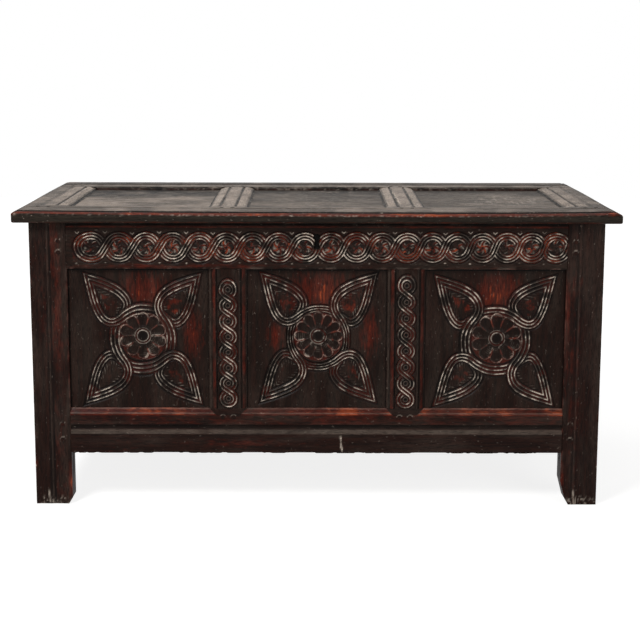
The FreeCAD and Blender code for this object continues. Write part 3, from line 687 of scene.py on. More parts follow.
@dataclass(frozen=True)
class MitredMoulding(Moulding):
    """A moulding round the sides of panel openings, mitred at their corners."""

    openings: tuple[Rect, ...] = ()
    sills_only: bool = False         # whether the bands end at the mitres

    def held(self, surface: Surface) -> Array:
        """Where the bands lie: everywhere, or only below the openings as far as the mitres.

        Args:
            surface: The face that is worked.

        Returns:
            1 where they lie and 0 where they don't.
        """
        if not self.sills_only:
            return super().held(surface)
        beside_them = [np.maximum(box.left - surface.across, surface.across - box.right)
                       for box in self.openings]
        return 1 - ease(-0.6, 0.6, np.minimum.reduce(beside_them) - (self.openings[0].bottom - surface.up))

    def distance(self, surface: Surface) -> Array:
        """How far each point is outside the nearest opening."""
        away = [np.maximum.reduce([box.left - surface.across, surface.across - box.right,
                                   box.bottom - surface.up, surface.up - box.top])
                for box in self.openings]
        return np.minimum.reduce(away)


@dataclass(frozen=True)
class RubbedPatch:
    """A place where the stain has rubbed through to red, broken along the grain."""

    middle: Place
    size: Place
    amount: float
    mark: Mark = RED
    streak: Place = (5.0, 30.0)

    def cut(self, surface: Surface) -> None:
        """Marks the patch.

        Args:
            surface: The face to change.
        """
        x = (surface.across - self.middle[0]) / self.size[0]
        y = (surface.up - self.middle[1]) / self.size[1]
        broken = surface.uneven(*self.streak)
        surface.stain(self.mark, self.amount * np.exp(-x ** 2 - y ** 2) * (0.3 + 1.2 * broken))


@dataclass(frozen=True)
class Settled:
    """Dust and stain that lie unevenly over a whole face."""

    mark: Mark
    least: float
    most: float
    lump: Place = (60.0, 60.0)

    def cut(self, surface: Surface) -> None:
        """Marks the whole face."""
        patchy = surface.uneven(*self.lump)
        surface.stain(self.mark, self.least + (self.most - self.least) * ease(0.3, 0.75, patchy))


@dataclass(frozen=True)
class Undulation:
    """The slight waves that a hand plane and dry years leave in a face."""

    height: float = 0.35
    lump: Place = (45.0, 160.0)

    def cut(self, surface: Surface) -> None:
        """Waves the face, a little into the wood."""
        wave = WORN.at(surface.across, surface.up, *self.lump)
        surface.depth = surface.depth + self.height * wave


# ---- carving ----

@dataclass(frozen=True)
class Strap:
    """The section of a carved strap: ridges, pale on their crests with rubbed wear and painted highlight,
    with gouged channels between them.
    """

    ridges: tuple[float, ...]
    channel: float
    crest_width: float = 1.0

    def half_gap(self) -> float:
        """Half the distance between two ridges."""
        return (self.ridges[1] - self.ridges[0]) / 2

    def reach(self) -> float:
        """From the strap's middle to the foot of its outer flank."""
        return self.ridges[-1] + self.half_gap()

    def from_ridge(self, offset: Array) -> Array:
        """Distance to the nearest ridge."""
        return np.minimum.reduce([np.abs(offset - ridge) for ridge in self.ridges])

    def section(self, offset: Array) -> Array:
        """Depth of the strap's surface beside its middle line."""
        part = np.clip(self.from_ridge(offset) / self.half_gap(), 0, 1)
        return 0.15 + self.channel * np.sin(part * math.pi / 2) ** 2

    def crest(self, offset: Array) -> Array:
        """How much of a pale crest there is, from 0 to 1: rubbed wear and painted highlight."""
        return bump(self.from_ridge(offset), self.crest_width)


@dataclass
class Weave:
    """Straps laid over and under one another on a surface."""

    surface: Surface
    strap: Strap
    offset: Array = field(init=False)
    over: Array = field(init=False)
    nearest: Array = field(init=False)
    nearest_over: Array = field(init=False)

    def __post_init__(self) -> None:
        """Starts with no strap laid."""
        shape = self.surface.across.shape
        self.offset = np.full(shape, np.inf)
        self.over = np.zeros(shape, bool)
        self.nearest = np.full(shape, np.inf)
        self.nearest_over = np.full(shape, np.inf)

    def lay(self, offset: Array, over: Array, drawn: Array) -> None:
        """Lays one stretch of strap.

        Args:
            offset: Each point's distance from the strap's middle line.
            over: Where this strap passes over the others.
            drawn: Where this stretch is the strap's own, not past its ends.
        """
        distance = np.where(drawn, np.abs(offset), np.inf)
        reach = self.strap.reach()
        held = np.abs(self.offset) < reach
        beats = ~held | (over & ~self.over) | ((over == self.over) & (distance < np.abs(self.offset)))
        wins = (distance < reach) & beats
        self.offset = np.where(wins, offset, self.offset)
        self.over = np.where(wins, over, self.over)
        self.nearest = np.minimum(self.nearest, distance)
        self.nearest_over = np.minimum(self.nearest_over, np.where(over, distance, np.inf))

    def carve(self, rise: float, crest: tuple[float | Array, float | Array], red: float) -> None:
        """Cuts the straps into the surface.

        Args:
            rise: How far the ground takes to come back up beside the straps.
            crest: How pale the ridges' crests are, where a strap lies over and elsewhere.
            red: How red the channels are.
        """
        surface, strap = self.surface, self.strap
        inside = np.abs(self.offset) < strap.reach()
        offset = np.where(inside, self.offset, 0)
        foot = 1 - ease(0, rise, self.nearest - strap.reach())
        gap = self.nearest_over - strap.reach()
        beside_over = inside & ~self.over & (gap > 0) & (gap < 3)
        trench = np.where(beside_over, strap.channel * (1.25 - 0.3 * gap), 0)
        surface.sink(np.where(inside, strap.section(offset), strap.channel * foot))
        surface.sink(trench)
        # The crests are made pale: partly rubbed wear, partly painted highlight.
        uneven = surface.uneven(15, 15)
        bright = np.where(self.over, *crest) * (0.12 + 1.9 * ease(0.38, 0.82, uneven))
        ridge = strap.crest(offset) * inside * np.where(beside_over, 0.2, 1.0)
        surface.stain(PALE, bright * ridge)
        patchy = surface.uneven(28, 28)
        cut = np.where(inside, 1 - strap.crest(offset), foot)
        worn = red * ease(0.25, 0.6, patchy)
        surface.stain(RED, worn * inside * cut)
        # The channels, the trench beside an over strap and the ground at the straps' feet are darkened:
        # packed wax and painted shade.
        surface.stain(GRIME, 0.85 * cut * np.where(inside, 1 - 0.9 * worn, 1.0))


class Eye(Enum):
    """What fills each round of a plait."""

    PINWHEEL = "curved petals"
    BUTTON = "a turned button"


@dataclass(frozen=True)
class Guilloche:
    """A running plait of two straps round a row of eyes."""

    centres: tuple[float, ...]
    middle: float
    radius: float
    strap: Strap
    eye: Eye
    upright: bool = False
    closed_end: bool = False
    first_stretch: float = 1.0       # how much wider the first round's open side is
    rise: float = 3.0
    crest: Place = (0.52, 0.76)      # on the straps that cross over, and on the rest
    red: float = 0.9
    steepest: float = 0.98           # the sine of the steepest crossing

    def cut(self, surface: Surface) -> None:
        """Cuts the plait.

        Args:
            surface: The face to change.
        """
        if self.upright:
            along, side = -surface.up, surface.across - self.middle
        else:
            along, side = surface.across, surface.up - self.middle
        weave = Weave(surface, self.strap)
        last = len(self.centres) - 1
        for number, centre in enumerate(self.centres):
            x = along - centre
            if number == 0:
                x = np.where(x < 0, x / self.first_stretch, x)
            distance = np.hypot(x, side)
            open_end = (-x if number == 0 else x) > 0.4 * self.radius
            lean = [self.lean(number, neighbour) for neighbour in (number - 1, number + 1)]
            steep = np.where(x < 0, lean[0], lean[1])
            drawn = np.abs(side) >= distance * steep
            over = open_end & (self.closed_end and number in (0, last))
            weave.lay(distance - self.radius, over, drawn & (distance > 1))
            if number < last:
                self.cross(weave, along, side, centre, self.centres[number + 1])
            self.carve_eye(surface, x, side, number)
        weave.carve(self.rise, self.crest, self.red)

    def lean(self, number: int, neighbour: int) -> float:
        """How far round an eye its ring reaches towards a neighbour.

        Args:
            number: The eye's place in the row.
            neighbour: The place of the eye beside it.

        Returns:
            The sine of the angle, from the row's line, where the crossing strap leaves the ring.
        """
        last = len(self.centres) - 1
        if neighbour < 0 or (neighbour > last and self.closed_end):
            return 0.0
        pitch = abs(self.centres[min(neighbour, last)] - self.centres[min(number, last - 1)])
        return self.crossing(pitch)[1]

    def crossing(self, pitch: float) -> tuple[float, float]:
        """Sine and cosine of the angle between the row and the straps that cross in one pitch."""
        sine = min(2 * self.radius / max(pitch, 1.0), self.steepest)
        return sine, math.sqrt(1 - sine ** 2)

    def cross(self, weave: Weave, along: Array, side: Array, start: float, end: float) -> None:
        """Lays the two straps that cross between two eyes.

        Args:
            weave: What the straps are laid in.
            along: Places along the row.
            side: Places across it.
            start: The first eye's centre.
            end: The second eye's centre.
        """
        sine, cosine = self.crossing(end - start)
        straight = math.sqrt(max(((end - start) / 2) ** 2 - self.radius ** 2, 1.0))
        x = along - (start + end) / 2
        for climb in (1, -1):
            travel = x * cosine + side * sine * climb
            offset = side * cosine * climb - x * sine
            weave.lay(offset, np.full(x.shape, climb == 1), np.abs(travel) <= straight)

    def carve_eye(self, surface: Surface, x: Array, y: Array, number: int) -> None:
        """Fills one round of the plait.

        Args:
            surface: The face to change.
            x: Places along the row from the eye's centre.
            y: Places across the row from it.
            number: The eye's place in the row.
        """
        room = self.radius - self.strap.reach() + 0.8
        distance = np.hypot(x, y)
        inside = distance < room
        if self.eye is Eye.BUTTON:
            ring = bump(distance - 0.62 * room, 1.3)
            surface.sink(np.where(inside, 2.6 - 2.3 * ring, 0))
            # A faint painted highlight on the button's ring, and its hollow darkened with packed wax and
            # painted shade.
            surface.stain(PALE, 0.07 * inside * ring)
            surface.stain(RED, 0.45 * inside * ring)
            surface.stain(GRIME, 0.9 * inside * (1 - ring))
            return
        petals = 4 + number % 2
        turn = np.arctan2(y, x) + 0.9 * distance / room + 1.7 * number
        part = (turn * petals / math.tau) % 1
        hollow = 0.5 + 3.0 * part ** 0.8 * ease(0, 5, distance) * (1 - ease(room - 3, room + 1, distance))
        surface.sink(np.where(inside, hollow, 0))
        wide = distance * math.tau / petals
        ridge = bump(np.minimum(part, 1 - part) * wide, 4.2) * ease(1, 4, distance)
        uneven = surface.uneven(11, 11)
        surface.stain(RED, inside * ridge * (0.25 + 0.85 * ease(0.3, 0.7, uneven)))
        # The hollows between the petals are darkened: packed wax and painted shade.
        surface.stain(GRIME, 0.65 * inside * (1 - ridge) ** 2)
        # Glints on the lower side and lit petal edges: painted highlights.
        glint = bump(part - 0.55, 0.1) * bump(distance - 0.65 * room, 2.5) * ease(0.35, 0.6, uneven) * (y < 2)
        edge = bump((np.minimum(part, 1 - part) * wide - 4.0), 1.0) * ease(0.45, 0.7, uneven)
        surface.stain(PALE, 0.45 * inside * np.maximum(glint, 0.8 * edge))


# One strap of the panels' knot, from the tip of one leaf, along that leaf's side, round the
# rosette and out along the far side of the next leaf. Four of them, each turned a quarter, make
# the whole. Millimetres from the rosette's centre.
KNOT_STRAP: tuple[Place, ...] = (
    (-138, 173), (-128.5, 137), (-118.5, 100), (-109, 72), (-98.5, 52), (-86, 40.5), (-71.5, 36.8),
    (-55.5, 42), (-37.5, 55), (-17, 64), (4, 66), (27, 62.5), (48, 50), (68, 37.2), (83.5, 37),
    (98.5, 51), (110, 73), (120, 103), (129.5, 138), (138, 172))


class PanelCarving(NamedTuple):
    """How one front panel's carving differs from the others', in size, place and wear."""

    offset: Place                    # the rosette's centre from the opening's middle
    drop: float                      # how far the knot's middle lies below the rosette's
    stretch: Place
    ring_widening: float             # how much wider a strap is on the ring than on the leaves
    ring_shift: float                # how far right of the leaves' middle the ring stands
    ring_stretch: float
    petals: int
    tip: float                       # from the rosette's centre to the petals' tips
    rosette_shift: float
    crest_width: float
    crest: Place                     # how pale the ridges are, where the strap lies over and elsewhere
    ring_crest: float                # how much of that paleness the ring keeps
    red_above: tuple[Place, float]   # size and strength of the red field over the rosette
    red_right: float
    red_left: float
    mirrored: bool = False


@dataclass(frozen=True)
class LeafKnot:
    """Four pointed leaves and a ring, drawn by one strap that weaves through itself."""

    centre: Place
    carving: PanelCarving
    strap: Strap
    goes_under: float = 240.0        # from there on, a strap lies under its neighbour
    tip_pull: float = 9.0            # how far the leaves' tips are drawn up and down

    def local(self, surface: Surface) -> tuple[Array, Array]:
        """Places measured from the knot's centre, before it is stretched or mirrored.

        Args:
            surface: The face that is worked.

        Returns:
            The places across and up.
        """
        x = (surface.across - self.centre[0]) / self.carving.stretch[0]
        y = (surface.up - self.centre[1]) / self.carving.stretch[1]
        near = 1 - ease(75, 130, np.hypot(x, y))
        x = x + near * (x / self.carving.ring_stretch - x - self.carving.ring_shift)
        y = y - np.sign(y) * self.tip_pull * ease(60, 150, np.abs(y))
        return (-x if self.carving.mirrored else x), y

    def cut(self, surface: Surface) -> None:
        """Cuts the knot and what its leaves hold.

        Args:
            surface: The face to change.
        """
        x, y = self.local(surface)
        line = flowing(KNOT_STRAP)
        weave = Weave(surface, self.strap)
        for quarter in range(4):
            angle = quarter * math.pi / 2
            u, v = x * math.cos(angle) - y * math.sin(angle), x * math.sin(angle) + y * math.cos(angle)
            offset, travelled = beside(u, v, line)
            past_first_tip = (u < -60) & (v > 60) & (u + v > 0)
            past_last_tip = (u > 60) & (v > 60) & (v > u)
            offset = offset / (1 + self.carving.ring_widening * bump(travelled - self.goes_under, 50))
            weave.lay(offset, travelled < self.goes_under, ~past_first_tip & ~past_last_tip)
        kept = 1 - (1 - self.carving.ring_crest) * (1 - ease(66, 84, np.hypot(x, y)))
        over, elsewhere = self.carving.crest
        weave.carve(rise=4.5, crest=(over * kept, elsewhere * kept), red=0.6)
        room = weave.nearest - self.strap.reach()
        for quarter in range(4):
            angle = math.pi / 4 + quarter * math.pi / 2
            outward = x * math.cos(angle) + y * math.sin(angle)
            sideways = y * math.cos(angle) - x * math.sin(angle)
            self.carve_leaf(surface, outward, sideways, room, quarter)

    def carve_leaf(self, surface: Surface, outward: Array, sideways: Array, room: Array, number: int) -> None:
        """Nicks the inside of one leaf with a small gouge, like ribs along its edges.

        Args:
            surface: The face to change.
            outward: Places along the leaf's middle line, from the rosette's centre.
            sideways: Places beside that line.
            room: Distance from the nearest strap.
            number: Which leaf it is.
        """
        width = 27 * (1 - ease(95, 175, outward))
        inside = (room > 0) & (outward > 72) & (outward < 158) & (np.abs(sideways) < width)
        uneven = surface.uneven(12, 12)
        surface.sink(np.where(inside, 1.2 + 0.6 * uneven, 0))
        middle = ease(5, 10, room)
        surface.stain(RED, inside * middle * ease(0.3, 0.75, uneven) * (0.85, 0.6, 0.2, 0.5)[number])
        lean = outward + 0.8 * np.abs(sideways) + 2.5 * np.sign(sideways)
        stroke = bump((lean / 7.4) % 1 - 0.5, 0.13) * ease(1.0, 2.5, room) * (1 - ease(8, 11, room))
        surface.sink(inside * stroke * 2.6)
        # Each nick is darkened with packed wax and painted shade, and one edge of it gets a painted
        # highlight.
        surface.stain(GRIME, 0.6 * inside * stroke)
        edge = bump((lean / 7.4) % 1 - 0.72, 0.1) * ease(1.0, 2.5, room) * (1 - ease(7, 10, room))
        surface.stain(PALE, 0.3 * inside * edge * ease(0.42, 0.8, uneven))


@dataclass(frozen=True)
class Rosette:
    """A round flower of scooped petals about a raised button."""

    centre: Place
    petals: int
    tip: float
    button: float = 13.3
    collar: float = 19.0

    def cut(self, surface: Surface) -> None:
        """Cuts the flower.

        Args:
            surface: The face to change.
        """
        x, y = surface.across - self.centre[0], surface.up - self.centre[1]
        distance, angle = np.hypot(x, y), np.arctan2(y, x) - math.pi / 2
        sector = math.tau / self.petals
        off_middle = (angle + sector / 2) % sector - sector / 2
        round_end = self.tip * math.sin(sector / 2) / (1 + math.sin(sector / 2))
        forward = distance * np.cos(off_middle) - (self.tip - round_end)
        sideways = distance * np.sin(off_middle)
        half = distance * math.sin(sector / 2)
        across_petal = np.where(forward < 0, np.abs(sideways) / np.maximum(half, 1), 0)
        past_end = np.where(forward >= 0, np.hypot(forward, sideways) / round_end, 0)
        share = np.maximum(across_petal, past_end)
        flower = distance < self.tip + 3
        hollow = np.sqrt(np.clip(1 - share ** 2, 0, 1))
        scoop = 0.5 + 3.2 * hollow * ease(self.collar - 2, self.collar + 9, distance)
        notch = ease(1.0, 1.12, share)
        surface.sink(np.where(flower, np.where(share < 1, scoop, 0.5 + 3.0 * notch), 0))
        uneven = surface.uneven(13, 13)
        # Painted highlight on the petals' rounded ends.
        rim = flower * bump((share - 1) * round_end, 1.0) * ease(self.collar, self.collar + 6, distance)
        scalloped = ease(-4, 4, forward)
        surface.stain(PALE, rim * (0.04 + 0.55 * scalloped * ease(0.35, 0.8, uneven)))
        # Painted glints on the lower petals.
        glint = bump((share - 0.8) * round_end, 1.5) * ease(0.6, 0.72, uneven) * (y < 4)
        surface.stain(PALE, 0.42 * flower * (share < 1) * glint)
        between = bump((share - 1.02) * round_end, 3.2) * ease(self.collar + 2, self.collar + 14, distance)
        surface.stain(RED, flower * np.maximum(0.6 * notch, 0.9 * between * ease(0.25, 0.55, uneven)))
        # The petals' scoops are darkened: packed wax and painted shade.
        surface.stain(GRIME, 0.3 * flower * (share < 1) * (1 - ease(0.7, 0.95, share)))
        # Painted highlight on small nicks in the lower petals.
        nicks = bump((distance / 4.4) % 1 - 0.5, 0.2) * (share < 0.8) * (y < 8)
        nicks = nicks * ease(self.collar, 26, distance)
        surface.stain(PALE, 0.08 * flower * nicks * ease(0.45, 0.75, uneven))
        self.carve_button(surface, distance)

    def carve_button(self, surface: Surface, distance: Array) -> None:
        """Cuts the button in the middle and the groove round it.

        Args:
            surface: The face to change.
            distance: Each point's distance from the flower's centre.
        """
        inside = distance < self.collar + 1
        section = ((0, 1.8), (7, 1.5), (11, 0.8), (self.button, 0.4), (15, 2.6), (17.5, 2.4),
                   (self.collar, 0.4))
        shape = np.interp(distance, *zip(*section))
        surface.depth = np.where(inside, shape, surface.depth)
        # Painted highlights on the button's and the collar's rims, and the hollow middle darkened with packed
        # wax and painted shade.
        ring = 0.65 * bump(distance - self.button, 1.0) + 0.4 * bump(distance - self.collar, 0.9)
        uneven = WORN.at(surface.across, surface.up, 9, 9)
        surface.clear(PALE, inside)
        surface.stain(PALE, 0.75 * inside * ring * ease(0.2, 0.6, uneven))
        surface.stain(RED, 0.7 * inside * bump(distance - 16.2, 1.8))
        surface.stain(GRIME, 0.8 * (1 - ease(7, 12, distance)))


@dataclass(frozen=True)
class GougeNicks:
    """A row of small V nicks that fill the corners beside a plait."""

    places: tuple[float, ...]
    level: float
    width: float = 4.0
    hanging: bool = True       # V nicks where true, flat lens cuts where not

    def cut(self, surface: Surface) -> None:
        """Cuts the nicks.

        Args:
            surface: The face to change.
        """
        for number, place in enumerate(self.places):
            x, y = surface.across - place, surface.up - self.level - 1.5 * math.sin(2.3 * number)
            line = np.abs(y - np.abs(x) * 0.85 + 2.0) if self.hanging else np.abs(y) + 0.35 * np.abs(x)
            near = 1 - ease(self.width - 1.5, self.width, np.abs(x))
            surface.sink(1.3 * bump(line + 0.6, 1.1) * near)
            # Painted highlight along each nick.
            surface.stain(PALE, (0.55 + 0.3 * math.sin(5.1 * number)) * bump(line, 0.9) * near)


@dataclass(frozen=True)
class PegHoles:
    """The dark joint round each oak peg."""

    places: tuple[Place, ...]
    radius: float = 4.5

    def cut(self, surface: Surface) -> None:
        """Cuts the joints.

        Args:
            surface: The face to change.
        """
        for place in self.places:
            distance = np.hypot(surface.across - place[0], surface.up - place[1])
            surface.sink(0.9 * bump(distance - self.radius - 0.5, 0.9))
            # A painted highlight on the upper side of each joint's rim.
            above = ease(-1, 3, surface.up - place[1])
            surface.stain(PALE, 0.28 * above * bump(distance - self.radius - 1.6, 0.8))


@dataclass(frozen=True)
class Keyhole:
    """The keyhole, a round eye over a tapering slot, sunk deep into the rail."""

    eye: Place
    radius: float = 6.6
    slot: float = 3.5
    foot: float = 27.5
    deep: float = 12.0

    def outline(self, surface: Surface) -> Array:
        """How far each point is from the hole.

        Args:
            surface: The face that is worked.

        Returns:
            The distances, negative within the hole.
        """
        x, y = surface.across - self.eye[0], surface.up - self.eye[1]
        round_part = np.hypot(x, y) - self.radius
        long_part = np.maximum(np.abs(x) - self.slot - 2.2 * ease(12, 25, -y), np.maximum(y, -y - self.foot))
        return np.minimum(round_part, long_part)

    def cut(self, surface: Surface) -> None:
        """Sinks the hole.

        Args:
            surface: The face to change.
        """
        away = self.outline(surface)
        surface.sink(self.deep * (1 - ease(-1.0, 0.3, away)))
        surface.sink(0.8 * (1 - ease(0, 2.5, away)))
        for mark in (PALE, RED):
            surface.clear(mark, 1 - ease(0.6, 3.4, away))
        # The hole is painted black as its shade.
        surface.stain(GRIME, 1 - ease(0.0, 2.0, away))


@dataclass(frozen=True)
class Scuffs:
    """Small pale bruises where feet, brooms and keys have knocked."""

    region: Rect
    amount: float = 0.5
    lump: Place = (4.0, 6.0)

    def cut(self, surface: Surface) -> None:
        """Bruises the region.

        Args:
            surface: The face to change.
        """
        box = self.region
        x = 2 * (surface.across - (box.left + box.right) / 2) / (box.right - box.left)
        y = 2 * (surface.up - (box.bottom + box.top) / 2) / (box.top - box.bottom)
        near = 1 - ease(0.45, 1.15, np.hypot(x, y))
        aside = 400.0    # so that the bruises don't follow the other marks
        knock = ease(0.5, 0.78, WORN.rough(surface.across + aside, surface.up, *self.lump))
        surface.stain(PALE, self.amount * near * knock)
        surface.sink(1.2 * self.amount * near * knock)


@dataclass(frozen=True)
class WornDown:
    """A lid that sitting and handling have worn down towards its front, most in the middle."""

    start: float
    end: float
    deep: float
    sag: float = 3.2
    edge_sag: float = 2.6            # how much more the front edge itself has gone
    edge: Place = (295.0, 311.0)     # where that begins and ends, in front of the lid's middle
    lowest: float = 150.0            # where the lid is lowest, right of its middle
    reach: Place = (850.0, 550.0)    # how far the hollow runs to its left and to its right

    def hollow(self, across: Array) -> Array:
        """How much of the sag there is along the lid.

        Args:
            across: Places along the lid.

        Returns:
            From 0 at its ends to 1 where it is lowest.
        """
        from_lowest = across - self.lowest
        left = 1 - np.clip(np.abs(from_lowest) / self.reach[0], 0, 1) ** 2
        right = 1 - np.clip(np.abs(from_lowest) / self.reach[1], 0, 1) ** 4
        return np.where(from_lowest < 0, left, right)

    def drop(self, across: Array, up: Array) -> Array:
        """How far the lid has sunk at some places."""
        return (self.deep + self.sag * self.hollow(across)) * ease(self.start, self.end, -up)

    def cut(self, surface: Surface) -> None:
        """Lowers the face."""
        at_edge = self.edge_sag * self.hollow(surface.across) * ease(*self.edge, -surface.up)
        surface.depth = surface.depth + self.drop(surface.across, surface.up) + at_edge


@dataclass(frozen=True)
class Wiped:
    """A strip along an edge kept clean by hands, or clean in a groove so that the groove's painted shade
    stays dark, and how far in it ends and starts.
    """

    edge: Edge
    end: float
    start: float = -10.0

    def cut(self, surface: Surface) -> None:
        """Takes the dust off the strip.

        Args:
            surface: The face to change.
        """
        distance = self.edge.distance(surface)
        begun = ease(self.start, self.start + 1.0, distance)
        surface.clear(DUST, begun * (1 - ease(self.end - 1.0, self.end, distance)))


@dataclass(frozen=True)
class RaggedEdge:
    """An edge that has broken away in splinters along the grain."""

    edge: Edge
    deep: float
    bite: float

    def cut(self, surface: Surface) -> None:
        """Breaks the edge.

        Args:
            surface: The face to change.
        """
        along = surface.across if self.edge in (Edge.BOTTOM, Edge.TOP) else surface.up
        reach = self.bite * ease(0.42, 0.85, WORN.rough(along, 0 * along + 9, 41, 41))
        reach = reach + 0.35 * self.bite * ease(0.5, 0.9, WORN.at(along, 0 * along + 3, 7, 7))
        inside = np.clip(1 - self.edge.distance(surface) / np.maximum(reach, 0.2), 0, 1)
        surface.sink(self.deep * np.sqrt(inside))
        surface.stain(RED, 0.6 * inside)


@dataclass(frozen=True)
class Crack:
    """A thin drying crack."""

    start: Place
    end: Place
    deep: float = 2.2
    width: float = 0.8
    pale: float = 0.5
    wander: float = 2.0

    def cut(self, surface: Surface) -> None:
        """Opens the crack.

        Args:
            surface: The face to change.
        """
        line = np.array([self.start, self.end])
        swing = self.wander * (2 * WORN.at(surface.across, surface.up, 17, 17) - 1)
        offset, travelled = beside(surface.across + swing, surface.up + swing, line)
        length = math.hypot(self.end[0] - self.start[0], self.end[1] - self.start[1])
        fade = ease(0, length * 0.2, travelled) * (1 - ease(length * 0.8, length, travelled))
        surface.sink(self.deep * fade * bump(offset, self.width))
        surface.stain(PALE, self.pale * fade * bump(np.abs(offset) - self.width, self.width))


# ---- boards ----

class Side(Enum):
    """The way that a board's show face looks, as the chest's directions across, up and outward."""

    FRONT = ((1, 0, 0), (0, 0, 1), (0, -1, 0))
    BACK = ((-1, 0, 0), (0, 0, 1), (0, 1, 0))
    LEFT = ((0, -1, 0), (0, 0, 1), (-1, 0, 0))
    RIGHT = ((0, 1, 0), (0, 0, 1), (1, 0, 0))
    TOP = ((1, 0, 0), (0, 1, 0), (0, 0, 1))

    def axes(self) -> Array:
        """The three directions as rows."""
        return np.array(self.value, float)


def box_of(node: str, side: Side = Side.FRONT) -> tuple[Array, Array]:
    """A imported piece's lowest and highest corner, across, up and outward from one side.

    Args:
        node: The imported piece's name.
        side: The side that it is seen from.

    Returns:
        The two corners, in millimetres.
    """
    corners = np.array([tuple(corner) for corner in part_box(node)]) / MM @ side.axes().T
    return corners.min(0), corners.max(0)


def face_of(node: str, side: Side = Side.FRONT) -> Rect:
    """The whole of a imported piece's face, seen from one side."""
    low, high = box_of(node, side)
    return Rect(low[0], low[1], high[0], high[1])


def openings_between(posts: Sequence[str], below: str, above: str,
                     side: Side = Side.FRONT) -> tuple[Rect, ...]:
    """The openings that a frame leaves for its panels.

    Args:
        posts: Names of its stiles and muntins.
        below: Name of its lower rail, or the nearer one.
        above: Name of its upper rail, or the farther one.
        side: The side that it is seen from.

    Returns:
        The openings, from left to right.
    """
    faces = sorted(face_of(post, side) for post in posts)
    bottom, top = face_of(below, side).top, face_of(above, side).bottom
    return tuple(Rect(left.right, bottom, right.left, top) for left, right in zip(faces, faces[1:]))


class Break(NamedTuple):
    """A flat fracture that takes a corner off: a point on it, and the way it faces, in millimetres."""

    point: tuple[float, float, float]
    facing: tuple[float, float, float]


def body_of(node: str) -> str:
    """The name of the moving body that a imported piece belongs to."""
    groups = frame["record"]["behaviour"]["bodies"]
    return next(body for body, members in groups.items() if node in members)


def slot_of(node: str) -> str:
    """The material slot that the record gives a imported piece."""
    return next(part["material_slot"] for part in frame["record"]["subparts"] if part["node"] == node)


def stand_for(mesh: bpy.types.Mesh, node: str) -> None:
    """Puts a worked piece in the place of its packed one.

    Args:
        mesh: The worked piece's finished mesh.
        node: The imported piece's name.
    """
    piece = linked(mesh.name, mesh)
    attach(piece, body_of(node))
    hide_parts(node)
    LOG.info("%s: %d points", mesh.name, len(mesh.vertices))


